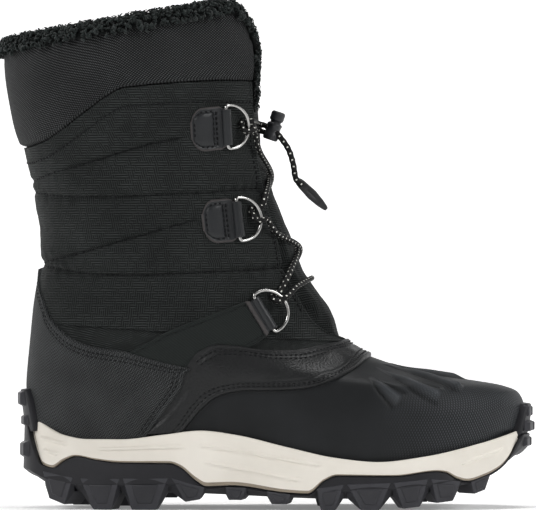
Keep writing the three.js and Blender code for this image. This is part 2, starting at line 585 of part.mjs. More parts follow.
// The upper's wall between two offsets from the last. spread widens its front edges and its top.
function wall(outside, inside, spread = 0) {
  const rows = UPPER_ROWS.length;
  const split = UPPER_ROWS.indexOf(THROAT[0].level);
  const points = [];
  const index = [outside, inside].map((out) =>
    UPPER_ROWS.map((row, i) => {
      const edge = throatRadians(row) - (i > split ? spread / (BALL_WIDTH / 2) : 0);
      return Array.from({ length: COLUMNS + 1 }, (_, j) => {
        const angle = lerp(edge, 2 * Math.PI - edge, j / COLUMNS);
        const p = offset(angle, rowLevel(row, angle), out + cuffRise(row));
        if (i === rows - 1) p.z += spread;
        points.push(p);
        return points.length - 1;
      });
    }),
  );
  const triangles = [];
  const quad = (a, b, c, d) => triangles.push([a, b, c], [a, c, d]);
  const [outer, inner] = index;
  for (let i = 0; i < rows - 1; i += 1) {
    for (let j = 0; j < COLUMNS; j += 1) {
      quad(outer[i][j], outer[i][j + 1], outer[i + 1][j + 1], outer[i + 1][j]);
      quad(inner[i][j], inner[i + 1][j], inner[i + 1][j + 1], inner[i][j + 1]);
    }
    if (i < split) continue;
    quad(outer[i][0], outer[i + 1][0], inner[i + 1][0], inner[i][0]);
    quad(inner[i][COLUMNS], inner[i + 1][COLUMNS], outer[i + 1][COLUMNS], outer[i][COLUMNS]);
  }
  for (let j = 0; j < COLUMNS; j += 1) {
    quad(inner[0][j], inner[0][j + 1], outer[0][j + 1], outer[0][j]);
    quad(outer[rows - 1][j], outer[rows - 1][j + 1], inner[rows - 1][j + 1], inner[rows - 1][j]);
  }
  return toSolid(points, triangles);
}

const underOverlays = wall(CLEARANCE, -UPPER_WALL);
const roundWall = wall(CLEARANCE, -UPPER_WALL - CLEARANCE, CLEARANCE);

function makeUpper() {
  const ribs = [...VAMP_RIBS.flatMap(vampRibs), crestRib()];
  return ribs.reduce((whole, rib) => whole.add(rib), wall(0, -UPPER_WALL));
}

// A flex rib: a low wedge on the vamp, narrow at its root and blunt at its end.
function ribSheet(from, to, width) {
  const middle = (s) => ({
    angle: lerp(from.angle, to.angle, s),
    level: lerp(from.level, to.level, s),
  });
  return sheet(1, 2, (s, across, face) => {
    const at = middle(s);
    const here = shell(at.angle, at.level);
    const ahead = shell(middle(s + 0.01).angle, middle(s + 0.01).level);
    const normal = normalAt(at.angle, at.level);
    const sideways = ahead.sub(here).normalize().cross(normal);
    const reach = (across - 0.5) * width * lerp(0.3, 1, s);
    const height = face ? RIB_RISE * lerp(0.25, 1, smooth(s * 2)) * (across === 0.5 ? 1 : 0.4) : -UPPER_WALL / 2;
    return here.addScaledVector(sideways, reach).addScaledVector(normal, height);
  });
}

function vampRibs({ fromX, fromZ, toX, toZ, width }) {
  const from = locate(alongBoot(fromX), upBoot(fromZ));
  const to = locate(alongBoot(toX), upBoot(toZ));
  return SIDES.map(({ sign }) =>
    ribSheet(
      { angle: mirrored(from.angle, sign), level: from.level },
      { angle: mirrored(to.angle, sign), level: to.level },
      width,
    ),
  );
}

const crestRib = () =>
  ribSheet({ angle: 0, level: CREST_RIB.fromLevel }, { angle: 0, level: CREST_RIB.toLevel }, CREST_RIB.width);

// The level at which a height crosses an angle, between two levels
function levelAtHeight(angle, height, from = 0, to = RINGS.length - 1) {
  let low = from;
  let high = to;
  for (let i = 0; i < 30; i += 1) {
    const middle = (low + high) / 2;
    const p = shell(angle, middle);
    if (p.z < (typeof height === "function" ? height(p.x) : height)) low = middle;
    else high = middle;
  }
  return low;
}
const rimLevel = (angle) => levelAtHeight(angle, midsoleRim, 0, 5);

// An overlay laid on the last, its face at a thickness, its back deep enough to be cut by the upper.
// beyond spreads its edges, for the room that a neighbour leaves it.
function overlay(rows, columns, at, thickness, beyond = 0) {
  return sheet(rows, columns, (up, around, face) => {
    const { angle, level: lv } = at(lerp(-beyond, 1 + beyond, up), lerp(-beyond / 5, 1 + beyond / 5, around));
    return offset(angle, lv, face ? CLEARANCE + thickness : -OVERLAY_ROOT);
  });
}

// Heel counter, from one front edge round the heel to the other
function counterPlace(up, around) {
  const z = lerp(0.15, COUNTER_FRONT.at(-1).z, clamp(up, 0, 1));
  const frontEdge = locate(alongBoot(counterFront(z)), upBoot(z)).angle;
  const angle = Math.PI + (around * 2 - 1) * (Math.PI - frontEdge);
  const side = sideAngle(angle);
  return { angle, level: lerp(rimLevel(side) + 0.04, counterTopLevel(side), up) };
}
const counterFront = curve(COUNTER_FRONT, "z", "x");
const counterSheet = (thickness, beyond) => overlay(3, 18, counterPlace, thickness, beyond);

// Band over the vamp: from the sole behind the arch, up and over the foot, and down again
function edgePath(rows, edge, crest = []) {
  const places = [
    ...rows.map((row) => locate(alongBoot(row[edge + "X"]), upBoot(row[edge + "Z"]))),
    ...crest.map((row) => ({ angle: radians(row[edge + "Angle"]), level: row[edge + "Level"] })),
  ];
  const steps = places.map((place, i) => ({ ...place, s: i / (places.length - 1) }));
  const angle = curve(steps, "s", "angle");
  const lv = curve(steps, "s", "level");
  return (s) => ({ angle: angle(s), level: lv(s) });
}
const bandTop = edgePath(BAND_EDGES, "top", BAND_CREST);
const bandBottom = edgePath(BAND_EDGES, "bottom", BAND_CREST);
function bandPlace(up, around) {
  const s = 1 - Math.abs(around * 2 - 1);
  const sign = around < 0.5 ? 1 : -1;
  const low = bandBottom(s);
  const high = bandTop(s);
  return { angle: sign * lerp(low.angle, high.angle, up), level: lerp(low.level, high.level, up) };
}
const bandSheet = (thickness, beyond) => overlay(3, 26, bandPlace, thickness, beyond);

// Tongue: a padded panel behind the throat that swells forward between the front edges
function makeTongue() {
  const foot = THROAT[0].level + 0.5;
  const panel = sheet(11, 8, (up, across, face) => {
    const lv = lerp(foot, TONGUE_TOP, up);
    const behind = throatRadians(Math.max(lv, 11)) + radians(TONGUE_UNDERLAP);
    const reach = lerp(behind, radians(TONGUE_TOP_ANGLE), smooth((lv - 15.2) / 1.2));
    const angle = (across * 2 - 1) * reach;
    const free = Math.abs(angle) / Math.max(throatRadians(lv), 0.05);
    const tucked = -UPPER_WALL - CLEARANCE - 0.6;
    const swell = lerp(tongueStand(lv), Math.min(tucked, tongueStand(lv)), smooth((free - 0.45) / 0.5));
    return offset(angle, lv, face ? swell : swell - TONGUE_THICKNESS);
  });
  return panel.subtract(roundWall);
}

// How much a place is at the very toe or heel, where the bumpers wrap: 1 there and 0 at the sides
const BUMPER_CORE = 12; // degrees
const BUMPER_FADE = 30;
function endness(angle) {
  const away = Math.min(sideAngle(angle), Math.PI - sideAngle(angle));
  return 1 - smooth((THREE.MathUtils.radToDeg(away) - BUMPER_CORE) / (BUMPER_FADE - BUMPER_CORE));
}

// A point beyond the rim of the last, moved out level. Its height comes from the sole's outline at that
// angle, so that everything along one angle is at matching heights.
function plan(angle, out, z) {
  const lv = level["cup rim"];
  const normal = normalAt(angle, lv).setZ(0).normalize();
  const rim = shell(angle, lv);
  const outline = rim.x + normal.x * RIM_OVERHANG;
  return rim.addScaledVector(normal, out).setZ(typeof z === "function" ? z(outline) : z);
}

const skinOut = (angle) => lerp(SIDE_OVERHANG - SKIN_RECESS, SKIN_END_OVERHANG, endness(angle));
const skinFlare = (angle) => lerp(0.6, Math.cos(angle) > 0 ? -1 : 0.6, endness(angle));
const parting = (x) => Math.min(partingLine(x), midsoleRim(x) - 1);
const plateTop = (x) => Math.min(treadLine(x) + TREAD_PLATE, parting(x) - 0.5);
const skinFoot = (x) => Math.min(treadLine(x) + upBoot(0.018), parting(x) - 1.4);
const aroundLoop = (rows) => rows.map((row) => loopAngles.map(row));

// Midsole: a cup that the upper sits in, with its core down inside the outsole
function midsoleBody(grown = 0) {
  const inside = grown ? 0 : CLEARANCE;
  const rim = (x) => midsoleRim(x) + grown;
  return loft(
    aroundLoop([
      (angle) => offset(angle, 0, inside).setZ(shell(angle, 0).z - inside),
      (angle) => offset(angle, Math.min(1, rimLevel(angle) - 0.05), inside),
      (angle) => offset(angle, rimLevel(angle), inside).setZ(rim(shell(angle, rimLevel(angle)).x)),
      (angle) => plan(angle, lerp(RIM_OVERHANG, END_OVERHANG, endness(angle)) + grown, rim),
      (angle) => plan(angle, lerp(SIDE_OVERHANG, END_OVERHANG, endness(angle)) + grown, parting),
      (angle) => plan(angle, skinOut(angle) - SKIN_THICKNESS - CLEARANCE, parting),
      (angle) => plan(angle, skinOut(angle) - SKIN_THICKNESS - CLEARANCE, (x) => plateTop(x) + CLEARANCE),
    ]),
    "rungs",
  );
}

const makeMidsole = () => SIDE_RIBS.flatMap(sideRib).reduce((whole, rib) => whole.add(rib), midsoleBody());

// A raised line on the midsole's side
function sideRib({ fromX, fromZ, toX, toZ }) {
  return SIDES.map(({ sign }) =>
    sheet(1, Math.abs(toX - fromX) > 0.1 ? 5 : 2, (up, along, face) => {
      const x = alongBoot(lerp(fromX, toX, along));
      const z = upBoot(lerp(fromZ, toZ, along)) + (up - 0.5) * SIDE_RIB_HEIGHT;
      const { angle } = edgeAt(x, sign, () => RIM_OVERHANG);
      const down = clamp((midsoleRim(x) - z) / Math.max(midsoleRim(x) - parting(x), 1), 0, 1);
      const side = lerp(RIM_OVERHANG, SIDE_OVERHANG, down);
      const stand = lerp(side, END_OVERHANG, endness(angle));
      return plan(angle, stand + (face ? SIDE_RIB_RISE : -1), z);
    }),
  );
}

// The angle at which the sole's outline, at an overhang, passes x
function edgeAt(x, sign, out) {
  let low = 0;
  let high = Math.PI;
  for (let i = 0; i < 30; i += 1) {
    const middle = (low + high) / 2;
    if (plan(middle, out(middle), 0).x > x) low = middle;
    else high = middle;
  }
  const angle = mirrored(low, sign);
  const inward = normalAt(angle, level["cup rim"]).setZ(0).normalize().negate();
  return { angle, point: plan(angle, out(angle), 0), inward };
}

// Outsole: a dish round the midsole's core, with bumpers at both ends and lugs underneath
function makeOutsole() {
  const lip = (x) => parting(x) - CLEARANCE;
  const dish = loft(
    aroundLoop([
      (angle) => plan(angle, skinOut(angle) - SKIN_THICKNESS, plateTop),
      (angle) => plan(angle, skinOut(angle) - SKIN_THICKNESS, lip),
      (angle) => plan(angle, skinOut(angle), lip),
      (angle) => plan(angle, skinOut(angle) + skinFlare(angle), skinFoot),
      (angle) => plan(angle, skinOut(angle) - TREAD_CHAMFER, treadLine),
    ]),
    "rungs",
  );
  const pieces = [
    bumper(Math.PI, { low: 1.6, high: 3.8, halfAngle: 15, outer: 4.8 }).subtract(
      counterSheet(COUNTER_THICKNESS + 2 * CLEARANCE, 0.05),
    ),
    bumper(0, { low: 1.5, high: 3.2, halfAngle: 15, outer: 3.6 }),
    ...EDGE_LUGS.flatMap(edgeLug),
    ...CENTRE_LUGS.map(centreLug),
    ...HEEL_BLOCKS.flatMap((block) => bumperBlocks(Math.PI, block)),
    ...TOE_BLOCKS.flatMap((block) => bumperBlocks(0, block)),
  ];
  return pieces.reduce((whole, piece) => whole.add(piece), dish);
}

// A part of the outsole that climbs the heel or toe, between two levels
function bumper(middle, { low, high, halfAngle, outer }) {
  const block = sheet(3, 6, (up, across, face) => {
    const taper = lerp(1, 0.72, up * up);
    const angle = middle + radians(halfAngle) * (across * 2 - 1) * taper;
    const out = face ? lerp(SKIN_END_OVERHANG, outer, smooth(up * 1.4)) : -OVERLAY_ROOT;
    return offset(angle, lerp(low, high, up), out);
  });
  return block.subtract(roundMidsole).subtract(underOverlays);
}

// An edge lug: a slice of the sole's edge, cut square across, that tapers to its tip
function edgeLug({ rootFrom, rootTo, tipFrom, tipTo, backTip, frontTip }) {
  return SIDES.map(({ sign }) => {
    const end = (root, tip, tipZ) => {
      const rootEdge = edgeAt(alongBoot(root), sign, skinOut);
      const tipEdge = edgeAt(alongBoot(tip), sign, skinOut);
      const bed = (x) => treadLine(x) + 1;
      const top = Math.min(skinFoot(alongBoot(root)) + upBoot(LUG_HEAD), parting(alongBoot(root)) - 0.8);
      const at = ({ point, inward }, depth, z) => {
        const p = point.clone().addScaledVector(inward, depth);
        return p.setZ(typeof z === "function" ? z(p.x) : z);
      };
      return [
        at(rootEdge, 1.4, bed),
        at(rootEdge, 0.4, top - 0.3),
        at(rootEdge, -0.9, top),
        at(tipEdge, 0.6, upBoot(tipZ)),
        at(tipEdge, LUG_DEPTH - 4, upBoot(tipZ)),
        at(rootEdge, LUG_DEPTH, bed),
      ];
    };
    return loft([end(rootFrom, tipFrom, backTip), end(rootTo, tipTo, frontTip)]);
  });
}

function centreLug({ x, length, width, tip }) {
  const at = ([along, across], z) =>
    new THREE.Vector3(alongBoot(x + along * length), across * width * BALL_WIDTH + TOE_SWING / 3, z);
  const corners = [[-0.5, -0.5], [0.5, -0.5], [0.5, 0.5], [-0.5, 0.5]];
  return loft([
    corners.map((corner) => at(corner, treadLine(alongBoot(x + corner[0] * length)) + 0.7 * TREAD_PLATE)),
    corners.map(([a, b]) => at([a * 0.7, b * 0.86], upBoot(tip))),
  ]);
}

// Blocks side by side round a bumper, at one height
function bumperBlocks(middle, { z, height, out, places, spread }) {
  const deep = out - 2.8;
  const corners = [[-0.5, -0.5], [0.5, -0.5], [0.5, 0.5], [-0.5, 0.5]];
  return places.map((place) =>
    loft(
      [[deep, 1], [out, 0.66]].map(([stand, size]) =>
        corners.map(([across, up]) =>
          plan(middle + radians(place + across * spread * size), stand, upBoot(z + up * height * size)),
        ),
      ),
    ),
  );
}

// Insole: a board in the bottom of the upper
function makeInsole() {
  const inside = -UPPER_WALL - CLEARANCE;
  const row = (lift, draw) => (angle) => {
    const normal = normalAt(angle, 0).setZ(0).normalize();
    const p = shell(angle, 0).addScaledVector(normal, inside - draw);
    return p.setZ(footbed(p.x) + lift);
  };
  return loft(aroundLoop([row(0.1, 0.5), row(INSOLE_THICKNESS - 1, 0.1), row(INSOLE_THICKNESS, 1.2)]), "rungs");
}

// A straight round rod between two points
function rod(from, to, radius, sides) {
  const along = to.clone().sub(from);
  const geometry = new THREE.CylinderGeometry(radius, radius, along.length(), sides);
  const turn = new THREE.Quaternion().setFromUnitVectors(new THREE.Vector3(0, 1, 0), along.clone().normalize());
  geometry.applyMatrix4(
    new THREE.Matrix4().compose(from.clone().lerp(to, 0.5), turn, new THREE.Vector3(1, 1, 1)),
  );
  return fromGeometry(geometry);
}

// Where a D-ring's bar sits and which way its bow points, on one side of the boot
function ringFrame({ x, z, dip }, sign) {
  const at = locate(alongBoot(x), upBoot(z));
  const angle = mirrored(at.angle, sign);
  const normal = normalAt(angle, at.level);
  const stand = 2 * CLEARANCE + SLEEVE_WALL + RING_WIRE / 2;
  const origin = shell(angle, at.level).addScaledVector(normal, stand);
  const forward = new THREE.Vector3(1, 0, 0).addScaledVector(normal, -normal.x).normalize();
  forward.applyAxisAngle(normal, radians(dip) * sign);
  const across = new THREE.Vector3().crossVectors(normal, forward).normalize();
  if (across.z < 0) across.negate();
  return { origin, normal, forward, across };
}

const onFrame = (frame, forward, across, out) =>
  frame.origin
    .clone()
    .addScaledVector(frame.forward, forward)
    .addScaledVector(frame.across, across)
    .addScaledVector(frame.normal, out);

// D-ring: round wire, a straight bar closed by a bow
function makeRing(frame) {
  const half = RING_HEIGHT / 2;
  const BOW_STEPS = 7;
  const path = [{ f: 0, a: -half }, { f: 0, a: half }];
  for (let i = 0; i <= BOW_STEPS; i += 1) {
    const turn = Math.PI / 2 - (Math.PI * i) / BOW_STEPS;
    path.push({ f: RING_REACH - half + half * Math.cos(turn), a: half * Math.sin(turn) });
  }
  const n = path.length;
  const WIRE_SIDES = 6;
  const rings = path.map((p, i) => {
    const before = path[(i + n - 1) % n];
    const after = path[(i + 1) % n];
    const into = new THREE.Vector2(p.f - before.f, p.a - before.a).normalize();
    const away = new THREE.Vector2(after.f - p.f, after.a - p.a).normalize();
    const along = into.clone().add(away).normalize();
    const mitre = 1 / Math.max(0.6, along.dot(into));
    return Array.from({ length: WIRE_SIDES }, (_, k) => {
      const turn = (2 * Math.PI * k) / WIRE_SIDES;
      const r = (RING_WIRE / 2) * Math.cos(turn) * mitre;
      return onFrame(frame, p.f + along.y * r, p.a - along.x * r, (RING_WIRE / 2) * Math.sin(turn));
    });
  });
  return loft(rings, "loop");
}

// The fold of leather that holds a ring's bar, round the bore that the bar turns in
const fold = (frame) => {
  const half = SLEEVE_LENGTH / 2;
  return rod(onFrame(frame, 0, -half, 0), onFrame(frame, 0, half, 0), RING_WIRE / 2 + CLEARANCE + SLEEVE_WALL, 8);
};
const bore = (frame) => {
  const half = SLEEVE_LENGTH;
  return rod(onFrame(frame, 0, -half, 0), onFrame(frame, 0, half, 0), RING_WIRE / 2 + CLEARANCE, 8);
};

// Leather tab: rounded at its back, sewn down, its front end folded round the ring's bar
function makeTab({ reach, width }, frame, sign) {
  const nose = 8;
  const flap = sheet(4, 4, (along, acrossShare, face) => {
    const back = lerp(reach, 1, along);
    const fromEnd = clamp((reach - back) / nose, 0, 1);
    const wide = Math.max(Math.sqrt(1 - (1 - fromEnd) ** 2), 0.4) * (width / 2);
    const narrow = lerp(SLEEVE_LENGTH / 2, wide, smooth((back - 1) / 4));
    const side = acrossShare * 2 - 1;
    const p = onFrame(frame, -back, side * narrow, 0);
    const at = locate(p.x, p.z);
    const crown = lerp(1, 0.6, Math.abs(side) ** 3);
    return offset(mirrored(at.angle, sign), at.level, face ? CLEARANCE + TAB_THICKNESS * crown : -OVERLAY_ROOT);
  });
  return flap.add(fold(frame)).subtract(bore(frame)).subtract(underOverlays);
}

// Ankle strap: webbing from under the counter and the band to the ring that it is folded round
const strapTop = edgePath(STRAP_EDGES, "top");
const strapBottom = edgePath(STRAP_EDGES, "bottom");
function makeStrap(frame, sign, neighbours) {
  const folded = 0.84; // share of its length at which the fold starts
  const strap = sheet(8, 3, (along, acrossShare, face) => {
    const low = strapBottom(Math.min(along / folded, 1));
    const high = strapTop(Math.min(along / folded, 1));
    const end = smooth((along - folded) / (1 - folded));
    const p = onFrame(frame, -1, (acrossShare - 0.5) * SLEEVE_LENGTH, 0);
    const at = locate(p.x, p.z);
    const angle = lerp(lerp(low.angle, high.angle, acrossShare), at.angle, end);
    const lv = lerp(lerp(low.level, high.level, acrossShare), at.level, end);
    return offset(mirrored(angle, sign), lv, face ? CLEARANCE + STRAP_THICKNESS : -OVERLAY_ROOT);
  });
  const whole = strap.add(fold(frame)).subtract(bore(frame)).subtract(underOverlays);
  return neighbours.reduce((rest, neighbour) => rest.subtract(neighbour), whole);
}

// Fur: a C of pile that sits on the collar line and runs down both front edges, with locks fused on
const FUR_STATIONS = 34;
const FUR_TURN = 0.1; // share of its length that runs down one front edge
function furFrame(share) {
  const side = share < 0.5 ? 1 : -1;
  const s = share < 0.5 ? share : 1 - share;
  const row = s < FUR_TURN ? lerp(FUR_FOOT, TOP_ROW, s / FUR_TURN) : TOP_ROW;
  const along = s < FUR_TURN ? 0 : (s - FUR_TURN) / (0.5 - FUR_TURN);
  const angle = side * lerp(throatRadians(row), Math.PI, along);
  const lv = rowLevel(row, angle);
  const normal = normalAt(angle, lv);
  const place = offset(angle, lv, cuffRise(row));
  const below = Math.min(lv, TOP_ROW - 0.1);
  const up = shell(angle, below + 0.1).sub(shell(angle, below)).normalize();
  const forward = shell(angle - side * 0.02, lv).sub(shell(angle, lv)).normalize();
  const corner = smooth((s - FUR_TURN * 0.6) / (FUR_TURN * 0.8));
  return { place, normal, outward: forward.lerp(up, corner).normalize(), size: lerp(0.6, 1, corner) };
}

function makeFur() {
  const section = [
    { up: 0.05, out: -UPPER_WALL - 1.4 },
    { up: 0.05, out: 0.4 },
    { up: 0.24, out: 1 },
    { up: 0.62, out: 1.2 },
    { up: 0.94, out: 0 },
    { up: 1, out: -3 },
    { up: 0.8, out: -6.4 },
    { up: 0.3, out: -FUR_INSIDE },
  ];
  const rings = Array.from({ length: FUR_STATIONS + 1 }, (_, i) => {
    const { place, normal, outward, size } = furFrame(i / FUR_STATIONS);
    const pile = size * (1 + 0.09 * Math.sin(i * 2.4));
    return section.map(({ up, out }) =>
      place
        .clone()
        .addScaledVector(outward, up * FUR_HEIGHT * pile)
        .addScaledVector(normal, out * (out < 0 ? lerp(0.7, 1, size) : size)),
    );
  });
  const LOCKS = 46;
  const locks = Array.from({ length: LOCKS }, (_, i) => furLock((i + 0.5) / LOCKS, i));
  return locks.reduce((whole, lock) => whole.add(lock), loft(rings)).subtract(roundWall);
}

// One lock: a leaning spike with a three-sided root, at a place that steps by the golden angle
const GOLDEN = 0.618;
function furLock(share, i) {
  const { place, normal, outward, size } = furFrame(share);
  const turn = ((i * GOLDEN) % 1) * 1.9 - 0.5;
  const along = new THREE.Vector3().crossVectors(normal, outward);
  const lean = normal.clone().multiplyScalar(Math.cos(turn) * 0.8).addScaledVector(outward, 0.55 + Math.sin(turn));
  const root = place
    .clone()
    .addScaledVector(outward, size * FUR_HEIGHT * 0.5)
    .addScaledVector(normal, -2.4);
  const tip = root.clone().addScaledVector(lean.normalize(), size * FUR_HEIGHT * 0.84);
  tip.addScaledVector(along, Math.sin(i * 1.7) * 1.5);
  const spread = 2.8 * size;
  const thirds = [0, (2 * Math.PI) / 3, (4 * Math.PI) / 3];
  const foot = thirds.map((angle) =>
    root
      .clone()
      .addScaledVector(along, spread * Math.cos(angle))
      .addScaledVector(outward, spread * 0.5 * Math.sin(angle))
      .addScaledVector(normal, -spread * 0.5 * Math.sin(angle)),
  );
  return loft([foot, foot.map((corner) => tip.clone().lerp(corner, 0.2))]);
}

// A cord as a round tube along a smooth curve through its points
const CORD_SIDES = 8;
const CORD_STEP = 9;
function cordTube(points) {
  const path = new THREE.CatmullRomCurve3(points);
  const round = new THREE.Shape(
    Array.from({ length: CORD_SIDES }, (_, k) => {
      const turn = (2 * Math.PI * k) / CORD_SIDES;
      return new THREE.Vector2(Math.cos(turn), Math.sin(turn)).multiplyScalar(CORD_DIAMETER / 2);
    }),
  );
  const steps = Math.max(3, Math.round(path.getLength() / CORD_STEP));
  return fromGeometry(new THREE.ExtrudeGeometry(round, { steps, bevelEnabled: false, extrudePath: path }));
}

// Where each run of lace passes over the tongue, as shares of BOOT_HEIGHT
const LACE_CRESTS = { topRun: 0.77, upperCrossing: 0.67, lowerCrossing: 0.518, lowestRun: 0.456 };
const laceHeight = Object.fromEntries(Object.entries(LACE_CRESTS).map(([run, share]) => [run, upBoot(share)]));

// Where a run of lace leaves a ring's bow, above or below its middle
const LACE_APART = 3.4;
const laceEnd = (frame, side) =>
  onFrame(frame, RING_REACH + RING_WIRE / 2 + CLEARANCE + 0.3, side * LACE_APART, 0);

// A place over the throat, at an angle to the lateral side of the shin and a height
const SHOULDER = 31; // degrees, where a run passes over the shaft's front edge
function overThroat(degrees, height, out) {
  const angle = radians(degrees);
  return offset(angle, levelAtHeight(angle, height, 10), out);
}

function crestPlace(height) {
  const stand = tongueStand(levelAtHeight(0, height, 10));
  return overThroat(0, height, stand + CORD_DIAMETER / 2 + 1.4);
}

function laceRun(from, middle, to, sign) {
  const shoulder = (end, side) =>
    overThroat(-side * SHOULDER, lerp(end.z, middle.z, 0.45), CORD_DIAMETER / 2 + 2.1);
  return cordTube([from, shoulder(from, sign), middle, shoulder(to, -sign), to]);
}

// Two runs of lace between two rows of rings, joined where they cross over the tongue
function makeCrossing(upperRow, lowerRow, height) {
  const [first, second] = SIDES.map(({ name, sign }) => {
    const other = SIDES.find((side) => side.name !== name);
    return laceRun(laceEnd(upperRow[name], -1), crestPlace(height), laceEnd(lowerRow[other.name], 1), sign);
  });
  return first.add(second);
}

// One run straight across from ring to ring
const makeAcross = (row, side, height) =>
  laceRun(laceEnd(row.lateral, side), crestPlace(height), laceEnd(row.medial, side), LATERAL);

// Cord lock, its button, and the cord end that hangs from it: shares, and millimetres across
const LOCK_AT = { x: 0.0075, y: -8, z: 0.755 };
const LOCK_LEAN = 19; // degrees forward of upright
const CLIP_AT = { x: 0.055, z: 0.658 };
const CLIP_DIP = 45; // degrees below level
const TAIL_APART = 1.75;

const lockAxis = UP.clone().applyAxisAngle(new THREE.Vector3(0, 1, 0), radians(LOCK_LEAN));
const lockForward = new THREE.Vector3(1, 0, 0).applyAxisAngle(new THREE.Vector3(0, 1, 0), radians(LOCK_LEAN));
const lockMiddle = new THREE.Vector3(alongBoot(LOCK_AT.x), LOCK_AT.y, upBoot(LOCK_AT.z));
const clipAxis = new THREE.Vector3(Math.cos(radians(CLIP_DIP)), 0, -Math.sin(radians(CLIP_DIP)));
const clipTop = new THREE.Vector3(alongBoot(CLIP_AT.x), LOCK_AT.y, upBoot(CLIP_AT.z));

// A turned piece: radius and height pairs about an axis
function turned(profile, from, axis) {
  const geometry = new THREE.LatheGeometry(profile.map(([r, h]) => new THREE.Vector2(r, h)), 12);
  const turn = new THREE.Quaternion().setFromUnitVectors(new THREE.Vector3(0, 1, 0), axis);
  geometry.applyMatrix4(new THREE.Matrix4().compose(from, turn, new THREE.Vector3(1, 1, 1)));
  return fromGeometry(geometry);
}

function makeLock() {
  const r = LOCK_DIAMETER / 2;
  const h = LOCK_LENGTH / 2;
  return turned([[0, -h], [r - 0.9, -h], [r, -h + 0.9], [r, h - 0.6], [r - 0.6, h], [0, h]], lockMiddle, lockAxis);
}

function makeButton() {
  const r = BUTTON_DIAMETER / 2;
  const h = BUTTON_LENGTH;
  const foot = lockMiddle.clone().addScaledVector(lockAxis, LOCK_LENGTH / 2 + CLEARANCE);
  return turned([[0, 0], [r - 0.7, 0], [r - 0.7, 1.1], [r, 1.6], [r, h - 0.9], [r - 0.9, h], [0, h]], foot, lockAxis);
}

// One of the two cord ends that hang from the lock to the clip
function makeCordTail(sign) {
  const from = lockMiddle
    .clone()
    .addScaledVector(lockForward, LOCK_DIAMETER / 2 + CLEARANCE + 0.4)
    .addScaledVector(lockAxis, -1.4);
  const to = clipTop.clone().addScaledVector(clipAxis, -CLEARANCE - 0.5);
  const bow = (share, out) => from.clone().lerp(to, share).add(new THREE.Vector3(out, 0, out * 0.6));
  return cordTube([from, bow(0.3, 1.2), bow(0.65, 0.7), to].map((p) => p.clone().setY(LOCK_AT.y + sign * TAIL_APART)));
}

// Moulded clip: a flat leaf of rubbery plastic
function makeCordEnd() {
  const across = new THREE.Vector3(0, 1, 0);
  const wide = new THREE.Vector3().crossVectors(across, clipAxis).normalize();
  const CLIP_SIDES = 8;
  const rows = [[0, 0.7], [0.15, 0.84], [0.5, 1], [0.78, 0.76], [1, 0.4]];
  return loft(
    rows.map(([s, w]) =>
      Array.from({ length: CLIP_SIDES }, (_, k) => {
        const turn = (2 * Math.PI * (k + 0.5)) / CLIP_SIDES;
        return clipTop
          .clone()
          .addScaledVector(clipAxis, s * CORD_END_LENGTH)
          .addScaledVector(wide, (CORD_END_WIDTH / 2) * w * Math.cos(turn))
          .addScaledVector(across, (CORD_END_WIDTH / 2) * Math.max(w, 0.6) * 1.1 * Math.sin(turn));
      }),
    ),
  );
}

// Materials
const finish = (color, roughness, metalness = 0) =>
  new THREE.MeshStandardMaterial({ color, roughness, metalness });
const rubber = finish(0x26272b, 0.6);
const foam = finish(0xe2ddd0, 0.65);
const shellCloth = finish(0x1d1f21, 0.8);
const coated = finish(0x2a2c30, 0.6);
const bandLeather = finish(0x222528, 0.5);
const furPile = finish(0x141818, 0.95);
const webbing = finish(0x1a1d1c, 0.85);
const steel = finish(0xc9c9cc, 0.2, 1);
const lace = finish(0x151515, 0.8);
const plastic = finish(0x1b1c20, 0.45);
const lining = finish(0x1a1c1d, 0.95);

const boot = new THREE.Group();

function place(name, solid, material) {
  const mesh = solid.getMesh();
  const geometry = new THREE.BufferGeometry();
  geometry.setAttribute("position", new THREE.BufferAttribute(new Float32Array(mesh.vertProperties), mesh.numProp));
  geometry.setIndex(new THREE.BufferAttribute(new Uint32Array(mesh.triVerts), 1));
  geometry.computeVertexNormals();
  const piece = new THREE.Mesh(geometry, material);
  piece.name = name;
  boot.add(piece);
}

const roundMidsole = midsoleBody(CLEARANCE);
const roundCounter = counterSheet(3 * COUNTER_THICKNESS, 0.02);
const roundBand = bandSheet(3 * BAND_THICKNESS, 0.02);
const counter = counterSheet(COUNTER_THICKNESS).subtract(underOverlays).subtract(roundMidsole);
const band = bandSheet(BAND_THICKNESS)
  .subtract(underOverlays)
  .subtract(roundMidsole)
  .subtract(roundCounter);
const rings = Object.fromEntries(
  FASTENERS.map((fastener) => [
    fastener.name,
    Object.fromEntries(SIDES.map(({ name, sign }) => [name, ringFrame(fastener, sign)])),
  ]),
);
const [topFastener, middleFastener] = FASTENERS;

place("outsole", makeOutsole(), rubber);
place("midsole", makeMidsole(), foam);
place("insole", makeInsole(), lining);
place("upper", makeUpper(), shellCloth);
place("heel_counter", counter, coated);
place("vamp_band", band, bandLeather);
place("tongue", makeTongue(), shellCloth);
place("fur_collar", makeFur(), furPile);
for (const { name, sign } of SIDES) {
  for (const row of Object.keys(rings)) place(`ring_${row}_${name}`, makeRing(rings[row][name]), steel);
  place(`tab_top_${name}`, makeTab(topFastener, rings.top[name], sign), bandLeather);
  place(`tab_middle_${name}`, makeTab(middleFastener, rings.middle[name], sign), bandLeather);
  place(`ankle_strap_${name}`, makeStrap(rings.ankle[name], sign, [roundCounter, roundBand]), webbing);
  place(`cord_tail_${name}`, makeCordTail(sign), lace);
}
place("lace_top_run", makeAcross(rings.top, 1, laceHeight.topRun), lace);
place("lace_crossing_upper", makeCrossing(rings.top, rings.middle, laceHeight.upperCrossing), lace);
place("lace_crossing_lower", makeCrossing(rings.middle, rings.ankle, laceHeight.lowerCrossing), lace);
place("lace_lowest_run", makeAcross(rings.ankle, -1, laceHeight.lowestRun), lace);
